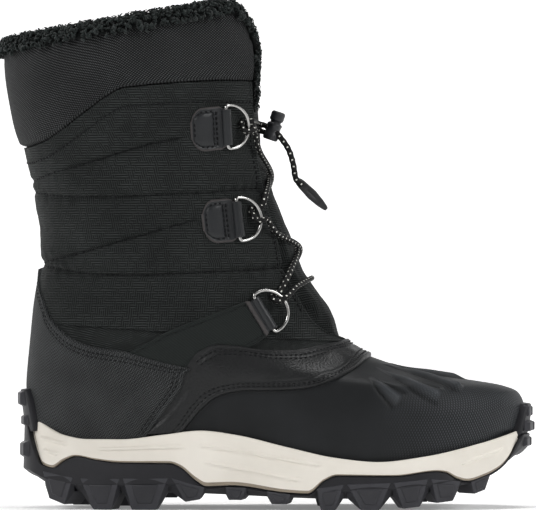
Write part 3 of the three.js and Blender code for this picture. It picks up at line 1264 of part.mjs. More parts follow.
place("cord_lock", makeLock(), plastic);
place("cord_lock_button", makeButton(), plastic);
place("cord_end", makeCordEnd(), plastic);

export default boot;
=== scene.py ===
# %% [markdown]
# # A laced snow boot
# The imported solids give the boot's real size and place. This lesson dresses them: woven nylon, coated cloth,
# moulded rubber and foam, fur, plated rings and a flecked lace. Points are worked out in millimetres, with
# +X to the toe, +Y to the inner side and the floor at z = 0, and turned to metres when a mesh is made.

# %% Load the frame
import json

import bpy
import numpy as np
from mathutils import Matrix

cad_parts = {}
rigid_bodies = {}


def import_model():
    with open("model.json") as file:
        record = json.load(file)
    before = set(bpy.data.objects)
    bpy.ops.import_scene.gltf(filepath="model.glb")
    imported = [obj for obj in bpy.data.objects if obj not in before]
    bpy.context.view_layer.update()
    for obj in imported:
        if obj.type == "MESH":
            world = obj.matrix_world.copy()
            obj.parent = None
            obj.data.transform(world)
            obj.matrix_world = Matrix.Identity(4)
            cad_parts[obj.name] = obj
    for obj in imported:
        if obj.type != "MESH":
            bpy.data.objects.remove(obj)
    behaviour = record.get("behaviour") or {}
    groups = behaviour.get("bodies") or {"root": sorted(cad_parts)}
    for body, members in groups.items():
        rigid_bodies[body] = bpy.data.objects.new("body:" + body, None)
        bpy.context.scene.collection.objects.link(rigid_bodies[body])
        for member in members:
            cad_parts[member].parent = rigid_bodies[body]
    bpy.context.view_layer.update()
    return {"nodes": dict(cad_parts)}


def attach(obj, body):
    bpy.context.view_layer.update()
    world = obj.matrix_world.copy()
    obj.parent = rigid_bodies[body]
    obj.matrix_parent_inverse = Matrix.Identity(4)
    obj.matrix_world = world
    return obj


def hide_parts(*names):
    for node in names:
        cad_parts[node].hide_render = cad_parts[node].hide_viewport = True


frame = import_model()
BODY = "root"
print("solids:", len(frame["nodes"]))

# %% [markdown]
# ## Camera
# A product photograph is taken from some way off with a long lens, so that near and far keep almost the same
# scale. The camera stands level at half the boot's height, which shows a little of the far lugs.

# %% Camera
CAMERA_DISTANCE = 3.6
CAMERA_HEIGHT = 0.1268
FIELD_WIDTH = 0.2695  # what the frame takes in at the boot's middle
lens = bpy.data.cameras.new("camera")
lens.sensor_width = 36
lens.lens = lens.sensor_width * CAMERA_DISTANCE / FIELD_WIDTH
lens.clip_end = 50
camera = bpy.data.objects.new("camera", lens)
camera.location = (-0.0003, -CAMERA_DISTANCE, CAMERA_HEIGHT)
camera.rotation_euler = (np.pi / 2, 0, 0)
bpy.context.scene.collection.objects.link(camera)
bpy.context.scene.camera = camera
print("lens in mm:", round(lens.lens, 1))

# %% [markdown]
# ## From arrays to a mesh
# Every piece is a grid of points worked out at once. A closed mesh has its faces turned outwards by the sign
# of the volume that they enclose, so no piece can end up inside out.


# %% Mesh helpers
def hexa(code):
    """A colour such as "1c2a30", in the linear numbers that a shader takes."""
    share = np.array([int(code[i : i + 2], 16) for i in (0, 2, 4)]) / 255
    return (*np.where(share <= 0.04045, share / 12.92, ((share + 0.055) / 1.055) ** 2.4), 1.0)


def enclosed(points, faces):
    """The volume inside a closed mesh: the sum of the pyramids from the origin to each face."""
    total = 0.0
    for corners in faces:
        for k in range(1, corners.shape[1] - 1):
            a, b, c = points[corners[:, 0]], points[corners[:, k]], points[corners[:, k + 1]]
            total += np.einsum("ij,ij->i", a, np.cross(b, c)).sum() / 6
    return total


def make_piece(name, points, faces, materials, material_of=None, uv=None, sharp=40, slot=None, replaces=()):
    """A mesh object from points in millimetres and arrays of quads and triangles. uv is a point's place on
    the cloth in millimetres, material_of a material number for each face."""
    points = np.asarray(points, float).reshape(-1, 3)
    faces = [np.asarray(f, int) for f in faces if len(f)]
    if enclosed(points, faces) < 0:
        faces = [f[:, ::-1] for f in faces]
    sizes = np.concatenate([np.full(len(f), f.shape[1]) for f in faces])
    corners = np.concatenate([f.ravel() for f in faces])
    mesh = bpy.data.meshes.new(name)
    mesh.vertices.add(len(points))
    mesh.vertices.foreach_set("co", (points / 1000).astype(np.float32).ravel())
    mesh.loops.add(len(corners))
    mesh.loops.foreach_set("vertex_index", corners.astype(np.int32))
    mesh.polygons.add(len(sizes))
    mesh.polygons.foreach_set("loop_start", (np.cumsum(sizes) - sizes).astype(np.int32))
    if uv is not None:
        layer = mesh.uv_layers.new(name="cloth")
        layer.uv.foreach_set("vector", np.asarray(uv, np.float32).reshape(-1, 2)[corners].ravel())
    for material in materials:
        mesh.materials.append(material)
    if material_of is not None:
        mesh.polygons.foreach_set("material_index", np.asarray(material_of, np.int32))
    mesh.update(calc_edges=True)
    mesh.validate()
    mesh.shade_smooth()
    if sharp:
        mesh.set_sharp_from_angle(angle=np.radians(sharp))
    piece = bpy.data.objects.new(name, mesh)
    bpy.context.scene.collection.objects.link(piece)
    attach(piece, BODY)
    if replaces:
        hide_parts(*replaces)
    print(f"{name}: {(sizes - 2).sum()} triangles")
    return piece


def quads(ids, wrap=False):
    """The quads of grids of point numbers, whose last column meets the first if wrap."""
    if wrap:
        ids = np.concatenate([ids, ids[..., :1]], -1)
    corners = [ids[..., :-1, :-1], ids[..., :-1, 1:], ids[..., 1:, 1:], ids[..., 1:, :-1]]
    return np.stack(corners, -1).reshape(-1, 4)


def closed_tube(grid, tips):
    """Points and faces of a body through rings of points, each end drawn in to a point of its own."""
    ids = np.arange(grid.size // 3).reshape(grid.shape[:2])
    fans = []
    for row, tip in ((ids[0, ::-1], 0), (ids[-1], 1)):
        fans.append(np.stack([np.full(len(row), grid.size // 3 + tip), row, np.roll(row, -1)], -1))
    return np.concatenate([grid.reshape(-1, 3), tips]), [quads(ids, wrap=True), np.concatenate(fans)]


def bridge(fine, coarse, stride):
    """Triangles between a line of points and one that has every stride-th of them. Each coarse edge takes
    one triangle, and each fine edge is joined to the nearer coarse end."""
    half = stride // 2
    found = [np.stack([coarse[:-1], fine[half::stride][: len(coarse) - 1], coarse[1:]], -1)]
    for k in range(stride):
        a = fine[k:-1:stride][: len(coarse) - 1]
        b = fine[k + 1 :: stride][: len(coarse) - 1]
        found.append(np.stack([a, b, coarse[:-1] if k < half else coarse[1:]], -1))
    return np.concatenate(found)


def arc_uv(grid):
    """Each point's place on the cloth: the way along its row, from the middle column, and up its column."""
    along = np.linalg.norm(np.diff(grid, axis=1), axis=2).cumsum(1)
    along = np.concatenate([np.zeros_like(along[:, :1]), along], 1)
    along -= along[:, along.shape[1] // 2][:, None]
    up = np.linalg.norm(np.diff(grid, axis=0), axis=2).cumsum(0)
    return np.stack([along, np.concatenate([np.zeros_like(up[:1]), up])], -1)


def skin(outer, inner, wrap=False, stride=4, lining=False, pick=None):
    """A closed wall between two grids of points of one size. The inner one keeps every stride-th row and
    column. Returns points, faces, uv and a material number for each face: pick's for the outside, and the
    last number for the inside."""
    rows, columns = outer.shape[:2]
    inner = inner[::stride, ::stride]
    front = np.arange(rows * columns).reshape(rows, columns)
    back = rows * columns + np.arange(inner.shape[0] * inner.shape[1]).reshape(inner.shape[:2])
    close = (lambda line: np.append(line, line[0])) if wrap else (lambda line: line)
    edges = [bridge(close(front[0]), close(back[0]), stride)]
    edges.append(bridge(close(front[-1]), close(back[-1]), stride)[:, ::-1])
    if not wrap:
        edges += [bridge(front[:, 0], back[:, 0], stride)[:, ::-1], bridge(front[:, -1], back[:, -1], stride)]
    outside, inside, edge = quads(front, wrap), quads(back, wrap)[:, ::-1], np.concatenate(edges)
    cloth = arc_uv(outer)
    uv = np.concatenate([cloth.reshape(-1, 2), cloth[::stride, ::stride].reshape(-1, 2)])
    front_material = np.zeros(len(outside), int) if pick is None else pick
    number = [front_material, np.full(len(inside), int(lining)), np.zeros(len(edge), int)]
    points = np.concatenate([outer.reshape(-1, 3), inner.reshape(-1, 3)])
    # Quads of the outside and inside come first, then the edge's triangles
    faces = [np.concatenate([outside, inside]), edge]
    return dict(points=points, faces=faces, uv=uv, material_of=np.concatenate(number))


def unit(vectors):
    return vectors / np.maximum(np.linalg.norm(vectors, axis=-1, keepdims=True), 1e-9)


def smooth(x, low=0.0, high=1.0):
    """0 below low and 1 above high, with a soft step between."""
    s = np.clip((x - low) / (high - low), 0, 1)
    return s * s * (3 - 2 * s)


def mix(a, b, share):
    return a + (b - a) * share


def bump(x, width):
    """A bell of height 1 whose edge is about width from its middle."""
    return np.exp(-((x / width) ** 2))


def quarter_round(away, width):
    """The height, from 0 to 1, of an edge that is rounded over width, at a distance from it."""
    return np.sqrt(np.clip(1 - (1 - np.clip(away / width, 0, 1)) ** 2, 0, 1))


def walked(line):
    """How far each point of a line lies from its first, along it."""
    return np.concatenate([[0], np.linalg.norm(np.diff(line, axis=0), axis=1).cumsum()])


def ripple(points, size, seed, waves=7):
    """Uneven ground from -1 to 1: the mean of waves in fixed directions that are about size apart."""
    rng = np.random.default_rng(seed)
    total = 0
    for _ in range(waves):
        way = rng.normal(size=3)
        way *= rng.uniform(0.6, 1.5) * 2 * np.pi / size / np.linalg.norm(way)
        total = total + np.sin(points @ way + rng.uniform(0, 2 * np.pi))
    return total / waves**0.5 / 1.6


# %% [markdown]
# ## The last
# A shoemaker works over a last, a solid foot. Here it is a table of sections, from the sole's edge up to the
# collar, read by a curve that never overshoots its rows. The solids were lofted over the same table, so each
# surface made from it lies where its solid does.

# %% Sections of the last
LENGTH, HEIGHT, BALL, COLLAR = 260.0, 250.0, 90.0, 107.0
TOE_SWING, WAIST_DEPTH, WALL = 6.0, 13.0, 3.0
COLUMNS = "back_x back_z front_x front_z ball collar widest back_full front_full waist swing sag".split()
SECTIONS = {
    "feather edge": (-0.431, 0.105, 0.44, 0.115, 0.9, 0, 0.66, 3.3, 3.1, 1, 1, 1),
    "cup wall": (-0.446, 0.132, 0.47, 0.135, 0.967, 0, 0.66, 3.3, 3.1, 0.95, 1, 0.85),
    "cup rim": (-0.455, 0.176, 0.489, 0.16, 1, 0, 0.65, 3.3, 3.1, 0.85, 1, 0.55),
    "toe front": (-0.4596, 0.22, 0.495, 0.2, 1.01, 0, 0.64, 3.3, 3, 0.65, 1, 0.3),
    "toe corner": (-0.4615, 0.244, 0.4835, 0.23, 1, 0, 0.62, 3.2, 2.6, 0.5, 0.95, 0.12),
    "toe top": (-0.4608, 0.26, 0.454, 0.244, 0.99, 0, 0.6, 3.1, 2.4, 0.4, 0.9, 0),
    "toe box": (-0.4596, 0.276, 0.4077, 0.2532, 0.978, 0, 0.58, 3, 2.2, 0.3, 0.8, 0),
    "flex line": (-0.4585, 0.292, 0.35, 0.2615, 0.962, 0, 0.56, 2.9, 2.1, 0.2, 0.65, 0),
    "vamp": (-0.4569, 0.312, 0.2846, 0.274, 0.944, 0, 0.54, 2.8, 2, 0.1, 0.45, 0),
    "vamp top": (-0.455, 0.336, 0.2192, 0.295, 0.922, 0, 0.53, 2.7, 2, 0.05, 0.25, 0),
    "throat base": (-0.4523, 0.364, 0.1615, 0.322, 0.911, 0, 0.52, 2.5, 2, 0, 0.1, 0),
    "instep": (-0.4492, 0.392, 0.1288, 0.36, 0.9, 0, 0.52, 2.4, 2, 0, 0, 0),
    "ankle bend": (-0.4442, 0.432, 0.1, 0.412, 0.7, 0.168, 0.51, 2.25, 2, 0, 0, 0),
    "ankle": (-0.4373, 0.488, 0.0654, 0.476, 0.45, 0.397, 0.5, 2.15, 2, 0, 0, 0),
    "shaft foot": (-0.4396, 0.552, 0.0404, 0.548, 0.2, 0.6355, 0.5, 2.1, 2, 0, 0, 0),
    "shaft low": (-0.45, 0.62, 0.0192, 0.624, 0, 0.841, 0.5, 2.1, 2, 0, 0, 0),
    "shaft middle": (-0.4654, 0.7, 0.0058, 0.708, 0, 0.888, 0.5, 2.1, 2, 0, 0, 0),
    "cuff seam": (-0.4827, 0.768, 0, 0.8, 0, 0.935, 0.5, 2.1, 2, 0, 0, 0),
    "cuff": (-0.4962, 0.84, -0.0019, 0.9, 0, 0.972, 0.5, 2.1, 2, 0, 0, 0),
    "collar line": (-0.5077, 0.91, 0, 1, 0, 1, 0.5, 2.1, 2, 0, 0, 0),
}
TOP = len(SECTIONS) - 1
SEAM_ROW, BEND_ROW = 17, 14
FOOTBED = [
    (-0.45, 0.105), (-0.22, 0.099), (0, 0.079), (0.15, 0.066), (0.27, 0.064), (0.36, 0.074), (0.41, 0.09),
    (0.45, 0.12),
]  # fmt: skip


def curve(at, value):
    """A curve through value at at. Its slope at a row is the harmonic mean of its neighbours' slopes, or
    zero where they disagree in sign, so it never overshoots."""
    at, value = np.asarray(at, float), np.asarray(value, float)
    rise = np.diff(value) / np.diff(at)
    agree = rise[:-1] * rise[1:] > 0
    total = np.where(agree, rise[:-1] + rise[1:], 1)
    slope = np.concatenate([rise[:1], np.where(agree, 2 * rise[:-1] * rise[1:] / total, 0), rise[-1:]])

    def read(x):
        x = np.clip(x, at[0], at[-1])
        i = np.clip(np.searchsorted(at, x, side="right") - 1, 0, len(at) - 2)
        step = at[i + 1] - at[i]
        s = (x - at[i]) / step
        level = value[i] * (1 + 2 * s) * (1 - s) ** 2 + value[i + 1] * s * s * (3 - 2 * s)
        return level + step * (slope[i] * s * (1 - s) ** 2 - slope[i + 1] * s * s * (1 - s))

    return read


def side_line(rows):
    """A line seen from the side, from shares of length and height, as a height for each x."""
    x, z = np.array(rows, float).T
    read = curve(x, z)
    return lambda at: read(at / LENGTH) * HEIGHT


section = {name: curve(range(TOP + 1), column) for name, column in zip(COLUMNS, zip(*SECTIONS.values()))}
footbed = side_line(FOOTBED)
feather = {end: SECTIONS["feather edge"][COLUMNS.index(end)] * HEIGHT for end in ("back_z", "front_z")}


def last(angle, level):
    """The outside of the last. angle runs from 0 at the toe over the outer side to pi at the heel, level
    from 0 at the sole's edge to 19 at the collar. The half width is that of a squared oval, and the ring's
    height follows the footbed by its share of sag."""
    angle, level = np.broadcast_arrays(np.asarray(angle, float), np.asarray(level, float))
    ring = {name: read(level) for name, read in section.items()}
    t = (1 + np.cos(angle)) / 2
    front = t > ring["widest"]
    r = np.where(front, (t - ring["widest"]) / (1 - ring["widest"]), (ring["widest"] - t) / ring["widest"])
    full = np.where(front, ring["front_full"], ring["back_full"])
    waist = 1 - ring["waist"] * WAIST_DEPTH / BALL * np.exp(-(((t - 0.38) / 0.17) ** 2))
    half = (ring["ball"] * BALL + ring["collar"] * COLLAR) / 2
    half = half * np.sqrt(np.maximum(0, 1 - np.maximum(r, 0) ** full)) * waist
    x = mix(ring["back_x"], ring["front_x"], t) * LENGTH
    z = mix(ring["back_z"], ring["front_z"], t) * HEIGHT
    z = z + ring["sag"] * (footbed(x) - mix(feather["back_z"], feather["front_z"], t))
    centre = TOE_SWING * ring["swing"] * smooth((t - 0.55) / 0.45)
    return np.stack([x, centre - np.sign(np.sin(angle)) * half, z], -1)


def last_normal(angle, level):
    """The last's outward direction, across its two directions along the surface."""
    step = 1e-3
    around = last(angle + step, level) - last(angle - step, level)
    up = last(angle, np.minimum(level + step, TOP)) - last(angle, np.maximum(level - step, 0))
    return unit(np.cross(up, around))


def over_last(angle, level, out):
    """The last moved out along its normal by out millimetres."""
    angle, level = np.broadcast_arrays(np.asarray(angle, float), np.asarray(level, float))
    return last(angle, level) + last_normal(angle, level) * np.asarray(out)[..., None]


def locate(x, z):
    """The angle and level of the outer side's surface that shows at x, z from the side, by halving."""
    x, z = np.broadcast_arrays(np.asarray(x, float), np.asarray(z, float))
    low, high = np.zeros(x.shape), np.full(x.shape, float(TOP))
    for _ in range(34):
        middle = (low + high) / 2
        back, front = section["back_x"](middle) * LENGTH, section["front_x"](middle) * LENGTH
        t = (x - back) / (front - back)
        line = mix(feather["back_z"], feather["front_z"], np.clip(t, 0, 1))
        height = mix(section["back_z"](middle), section["front_z"](middle), t) * HEIGHT
        below = height + section["sag"](middle) * (footbed(x) - line) < z
        low, high = np.where(below, middle, low), np.where(below, high, middle)
    back, front = section["back_x"](low) * LENGTH, section["front_x"](low) * LENGTH
    return np.arccos(np.clip(2 * (x - back) / (front - back) - 1, -1, 1)), low


def on_side(angle, sign):
    """An angle of the outer side as it is, for sign -1, or mirrored to the inner side."""
    return angle if sign < 0 else 2 * np.pi - angle


def level_at(angle, height, low=0.0, high=float(TOP)):
    """The level at which a height, or a line seen from the side, crosses each angle."""
    angle = np.asarray(angle, float)
    low, high = np.full(angle.shape, low), np.full(angle.shape, high)
    for _ in range(30):
        middle = (low + high) / 2
        p = last(angle, middle)
        below = p[..., 2] < (height(p[..., 0]) if callable(height) else height)
        low, high = np.where(below, middle, low), np.where(below, high, middle)
    return low


side_angle = lambda angle: np.abs(np.arctan2(np.sin(angle), np.cos(angle)))
print("ball width:", round(float(np.ptp(last(np.linspace(0, 6.28, 400), 3)[:, 1])), 1), "mm")

# %% [markdown]
# ## Rings, straps and the two hanging cord ends
# The cords come first, because their solids set how far they may reach. Both ends of the lace leave the cord
# lock side by side, bow forward a little under their own weight, and end in one moulded clip. They are 3 mm
# braided polyester, limp, and what hangs free is about 30 mm long, as in the photograph.

# %% Hanging cord ends
CORD = 3.0
BRAID_TURN = 3.4  # the length of lace after which its pattern comes again
CORD_SIDE, TAIL_APART = -8, 1.75  # the lock's place across the boot, and each cord end's from there
RADIANS = np.pi / 180
LOCK_LEAN, CLIP_DIP = 19 * RADIANS, 45 * RADIANS
lock_axis = np.array([np.sin(LOCK_LEAN), 0, np.cos(LOCK_LEAN)])
lock_forward = np.array([np.cos(LOCK_LEAN), 0, -np.sin(LOCK_LEAN)])
lock_middle = np.array([0.0075 * LENGTH, CORD_SIDE, 0.755 * HEIGHT])
clip_axis = np.array([np.cos(CLIP_DIP), 0, -np.sin(CLIP_DIP)])
clip_top = np.array([0.055 * LENGTH, CORD_SIDE, 0.658 * HEIGHT])
HALF_LOCK = 7.6 / 2


def through(points, count=80):
    """A smooth path through points, a Catmull-Rom curve, cut into count equal steps."""
    p = np.asarray(points, float)
    p = np.concatenate([[2 * p[0] - p[1]], p, [2 * p[-1] - p[-2]]])
    s = np.linspace(0, len(p) - 3, 40 * len(p))
    i = np.minimum(s.astype(int), len(p) - 4)
    t = (s - i)[:, None]
    a, b, c, d = p[i], p[i + 1], p[i + 2], p[i + 3]
    line = 0.5 * (2 * b + (c - a) * t + (2 * a - 5 * b + 4 * c - d) * t**2 + (3 * b - a - 3 * c + d) * t**3)
    return resample(line, count)


def resample(line, count):
    """The same line in count equal steps."""
    way = walked(line)
    even = np.linspace(0, way[-1], count + 1)
    return np.stack([np.interp(even, way, line[:, k]) for k in range(3)], -1)


def side_frames(line, hint, closed=False):
    """Directions along, across and out for each point of a line. across is kept square to the way along,
    starting from hint, and is carried on from point to point without twist."""
    ahead = np.roll(line, -1, 0) - np.roll(line, 1, 0)
    if not closed:
        ahead[0], ahead[-1] = line[1] - line[0], line[-1] - line[-2]
    ahead = unit(ahead)
    across = np.zeros_like(ahead)
    now = np.asarray(hint, float)
    for i, way in enumerate(ahead):
        now = now - way * (now @ way)
        now = now / np.linalg.norm(now)
        across[i] = now
    return ahead, across, np.cross(ahead, across)


def tube(line, radius, sides=10, hint=(0, 1, 0), closed=False, relief=None):
    """A round tube along a line, as one closed mesh. relief(turn, way) adds to the radius."""
    line = np.asarray(line, float)
    ahead, across, out = side_frames(line, hint, closed)
    turn = np.arange(sides) * 2 * np.pi / sides
    way = walked(line)
    r = np.broadcast_to(np.asarray(radius, float), (len(line),))[:, None] * np.ones(sides)
    if relief is not None:
        r = r + relief(turn[None], way[:, None])
    ring = across[:, None] * np.cos(turn)[:, None] + out[:, None] * np.sin(turn)[:, None]
    points = line[:, None] + ring * r[..., None]
    uv = [np.broadcast_to(turn / (2 * np.pi), r.shape), np.broadcast_to(way[:, None], r.shape)]
    uv = np.stack(uv, -1).reshape(-1, 2)
    if closed:
        ids = np.arange(len(uv)).reshape(-1, sides)
        return points.reshape(-1, 3), [quads(np.concatenate([ids, ids[:1]]), wrap=True)], uv
    points, faces = closed_tube(points, line[[0, -1]])
    return points, faces, np.concatenate([uv, [[0.5, 0], [0.5, way[-1]]]])


def join(parts):
    """Several meshes, each points, faces and uv, as one."""
    points, uv, by_size, start = [], [], {}, 0
    for p, faces, cloth in parts:
        points.append(p)
        uv.append(cloth)
        for f in faces:
            by_size.setdefault(f.shape[1], []).append(f + start)
        start += len(p)
    return np.concatenate(points), [np.concatenate(f) for f in by_size.values()], np.concatenate(uv)


def braid(turn, way):
    """The lace's surface: two sets of strands that wind round it opposite ways."""
    left = np.cos(4 * turn + way * 2 * np.pi / BRAID_TURN)
    right = np.cos(4 * turn - way * 2 * np.pi / BRAID_TURN)
    return 0.09 * np.maximum(left, right)


tail_lines = {}
for side, sign in (("lateral", -1), ("medial", 1)):
    start = lock_middle + lock_forward * (HALF_LOCK + 0.35 + 0.4) - lock_axis * 1.4
    end = clip_top - clip_axis * 0.85
    bow = lambda share, out: mix(start, end, share) + np.array([out, 0, out * 0.6])
    inside_lock, inside_clip = start - lock_forward * 3.4 + lock_axis * 1.9, end + clip_axis * 4.6
    route = np.array([inside_lock, start, bow(0.33, 1.5), bow(0.67, 1.2), end, inside_clip])
    route[:, 1] = CORD_SIDE + sign * TAIL_APART
    tail_lines[side] = through(route, 60)
print("free end:", round(walked(tail_lines["lateral"])[-1], 1), "mm")

# %% [markdown]
# ## Materials
# Each finish is one Principled shader. Its colour and height come from a pattern at the size of the real
# thing: threads about a millimetre apart, grain, moulded dots. Woven and embossed finishes read the piece's
# own map of the cloth, in millimetres, so that the threads follow the surface.

# %% A node helper and the patterns made with it


def add(tree, kind, inputs=None, out=0, **settings):
    """Adds a node with its settings and returns one of its outputs. An input that is given a socket is
    linked, any other is set."""
    made = tree.nodes.new("ShaderNode" + kind)
    for name, value in settings.items():
        setattr(made, name, value)
    for name, value in (inputs or {}).items():
        if isinstance(value, bpy.types.NodeSocket):
            tree.links.new(value, made.inputs[name])
        else:
            made.inputs[name].default_value = value
    return made.outputs[out]


def start_material(name, colour, roughness, **sockets):
    """A named material with its plain colour, and its node tree and shader."""
    material = bpy.data.materials.new(name)
    material.use_nodes = True
    material.diffuse_color = hexa(colour)
    shader = material.node_tree.nodes["Principled BSDF"]
    shader.inputs["Base Color"].default_value = hexa(colour)
    shader.inputs["Roughness"].default_value = roughness
    for socket, value in sockets.items():
        shader.inputs[socket.replace("_", " ")].default_value = value
    return material, material.node_tree, shader


def paint(tree, shader, share, dark, light):
    """Lets the colour run from dark to light by share."""
    mixed = add(tree, "Mix", {0: share, 6: hexa(dark), 7: hexa(light)}, 2, data_type="RGBA")
    tree.links.new(mixed, shader.inputs["Base Color"])


def raise_surface(tree, shader, height, depth, strength=1.0):
    """Lets a height from 0 to 1 stand depth millimetres out of the surface."""
    lifted = add(tree, "Bump", {"Height": height, "Distance": depth / 1000, "Strength": strength})
    tree.links.new(lifted, shader.inputs["Normal"])


WAVE = np.pi / 10  # a wave texture's period at scale 1


def threads(tree, pitch, turn, wander=0.0):
    """Ridges pitch apart that run at turn degrees over the cloth, from 0 to 1."""
    cloth = add(tree, "UVMap", uv_map="cloth")
    turned = add(tree, "Mapping", {"Vector": cloth, "Rotation": (0, 0, np.radians(turn))})
    settings = {"Vector": turned, "Scale": WAVE / pitch, "Distortion": wander, "Detail": 1.0}
    return add(tree, "TexWave", settings, "Fac", bands_direction="Y")


def crossed(tree, pitch, turn):
    """Rows of dots, where threads that run at turn degrees either way cross."""
    both = {0: threads(tree, pitch, turn), 1: threads(tree, pitch, -turn)}
    return add(tree, "Math", both, operation="MULTIPLY")


def patches(tree, size, detail=3.0, roughness=0.55):
    """Cloudy variation over the piece, in object space, with patches about size millimetres wide."""
    place = add(tree, "TexCoord", out="Object")
    noise = {"Vector": place, "Scale": 1000 / size, "Detail": detail, "Roughness": roughness}
    return add(tree, "TexNoise", noise, "Fac")


def clouded(tree, pattern, size, least):
    """A pattern that grows stronger and weaker in patches about size millimetres wide."""
    share = add(tree, "Math", {0: patches(tree, size), 1: least}, operation="ADD")
    return add(tree, "Math", {0: pattern, 1: share}, operation="MULTIPLY")


def edges_of(tree, low, high, most):
    """Where the surface is bent to an edge, from 0 to most."""
    pointed = add(tree, "NewGeometry", out="Pointiness")
    return add(tree, "MapRange", {0: pointed, 1: low, 2: high, 3: 0.0, 4: most})


def drifting(name, colour, roughness, cloud, dark, light, fine=None, **sockets):
    """A finish whose colour drifts from dark to light in patches. fine is the unevenness of its surface, as
    its patches, its depth and its strength."""
    material, tree, shader = start_material(name, colour, roughness, **sockets)
    paint(tree, shader, patches(tree, *cloud), dark, light)
    if fine:
        raise_surface(tree, shader, patches(tree, *fine[0]), *fine[1:])
    return material


# %% [markdown]
# ### Woven nylon
# The shaft is ripstop: fine plain nylon with a thicker thread every 1.2 mm each way. It is drawn as dashes,
# because the level threads show in some places and the upright ones in others. The cuff is ballistic nylon, a
# basket of heavier threads that reads as slanting rows of dots.

# %% Ripstop and ballistic nylon
ripstop, tree, shader = start_material(
    "woven ripstop nylon", "1a1c1c", 0.85, Specular_IOR_Level=0.12, Sheen_Weight=0.06
)
broken = add(tree, "MapRange", {0: patches(tree, 3.2, 2), 1: 0.42, 2: 0.58, 3: 0.1, 4: 1.0})
whole = add(tree, "Math", {0: 1.0, 1: broken}, operation="SUBTRACT")
dashes = add(tree, "Math", {0: threads(tree, 1.25, 0, 0.6), 1: broken}, operation="MULTIPLY")
uprights = add(tree, "Math", {0: threads(tree, 1.1, 90, 0.6), 1: whole}, operation="MULTIPLY")
uprights = add(tree, "Math", {0: uprights, 1: 0.45}, operation="MULTIPLY")
weave = add(tree, "Math", {0: dashes, 1: 0.6, 2: uprights}, operation="MULTIPLY_ADD")
paint(tree, shader, clouded(tree, weave, 22, 0.3), "050606", "474b4a")
raise_surface(tree, shader, weave, 0.4, 0.9)

ballistic, tree, shader = start_material(
    "ballistic nylon", "2a2b2f", 0.78, Specular_IOR_Level=0.12, Sheen_Weight=0.05
)
dots = crossed(tree, 1.05, 38)
paint(tree, shader, clouded(tree, dots, 30, 0.4), "050506", "595b5c")
raise_surface(tree, shader, dots, 0.42)

# %% [markdown]
# ### Coated and moulded finishes
# The counter is a textile with a rubbery coat, embossed in fine slanting rows that change direction. The band
# is grained synthetic leather. The vamp is moulded rubber, plain over the foot and dotted towards the toe, with
# painted highlight along its rib tops and painted shade in the grooves beside them.

# %% Embossed coat, synthetic leather, moulded rubber
embossed, tree, shader = start_material("embossed coated textile", "2b2d31", 0.6, Specular_IOR_Level=0.15)
turn_row = add(tree, "Math", {0: threads(tree, 2.6, 90), 1: 0.5}, operation="GREATER_THAN")
rising_falling = {0: turn_row, 2: threads(tree, 0.9, 50), 3: threads(tree, 0.9, -50)}
rows = add(tree, "Mix", rising_falling, data_type="FLOAT")
paint(tree, shader, clouded(tree, rows, 25, 0.3), "060707", "565859")
raise_surface(tree, shader, rows, 0.36)


def grained_leather(name, dark, light, roughness, grain, depth):
    """Synthetic leather: a cell pattern of grain, softened by noise, under a satin coat."""
    material, tree, shader = start_material(name, dark, roughness, Specular_IOR_Level=0.3)
    place = {"Vector": add(tree, "TexCoord", out="Object"), "Scale": 1000 / grain}
    cells = add(tree, "TexVoronoi", place, "Distance", feature="SMOOTH_F1")
    shade = add(tree, "Math", {0: patches(tree, 16), 1: 0.9}, operation="MULTIPLY")
    paint(tree, shader, shade, dark, light)
    raise_surface(tree, shader, clouded(tree, cells, 4, 0.5), depth, 0.6)
    return material


leather = grained_leather("grained synthetic leather", "0a0b0c", "1f2021", 0.44, 0.9, 0.34)
tab_leather = grained_leather("satin coated leather", "17181a", "2d2f31", 0.34, 0.7, 0.12)
edge_leather = grained_leather("cut leather edge", "302e2e", "4e4a4a", 0.7, 0.5, 0.12)

moulded, tree, shader = start_material("moulded matte rubber", "1d1f21", 0.52, Specular_IOR_Level=0.2)
place = add(tree, "TexCoord", out="Object")
forward, upward = [add(tree, "SeparateXYZ", {0: place}, axis) for axis in "XZ"]
toe_zone = add(tree, "MapRange", {0: forward, 1: 0.055, 2: 0.1, 3: 0.0, 4: 1.0})
low_zone = add(tree, "MapRange", {0: upward, 1: 0.066, 2: 0.055, 3: 0.0, 4: 1.0})
zone = add(tree, "Math", {0: toe_zone, 1: low_zone}, operation="MULTIPLY")
dots = add(tree, "Math", {0: crossed(tree, 1.25, 60), 1: zone}, operation="MULTIPLY")
# Painted light on the vamp's ribs: the 'crest' attribute lightens the rib tops as painted highlight and darkens
# the grooves at their feet as painted shade.
painted_rib_highlight_and_shade = add(tree, "Attribute", out="Fac", attribute_name="crest", attribute_type="GEOMETRY")
tone = add(tree, "Math", {0: patches(tree, 35), 1: 0.25, 2: dots}, operation="MULTIPLY_ADD")
tone = add(tree, "Math", {0: painted_rib_highlight_and_shade, 1: 0.35, 2: tone}, operation="MULTIPLY_ADD")
paint(tree, shader, tone, "040505", "494c50")
pores = add(tree, "Math", {0: patches(tree, 0.9), 1: 0.12}, operation="MULTIPLY")
height = add(tree, "Math", {0: dots, 1: 0.9, 2: pores}, operation="MULTIPLY_ADD")
raise_surface(tree, shader, height, 0.2, 0.8)
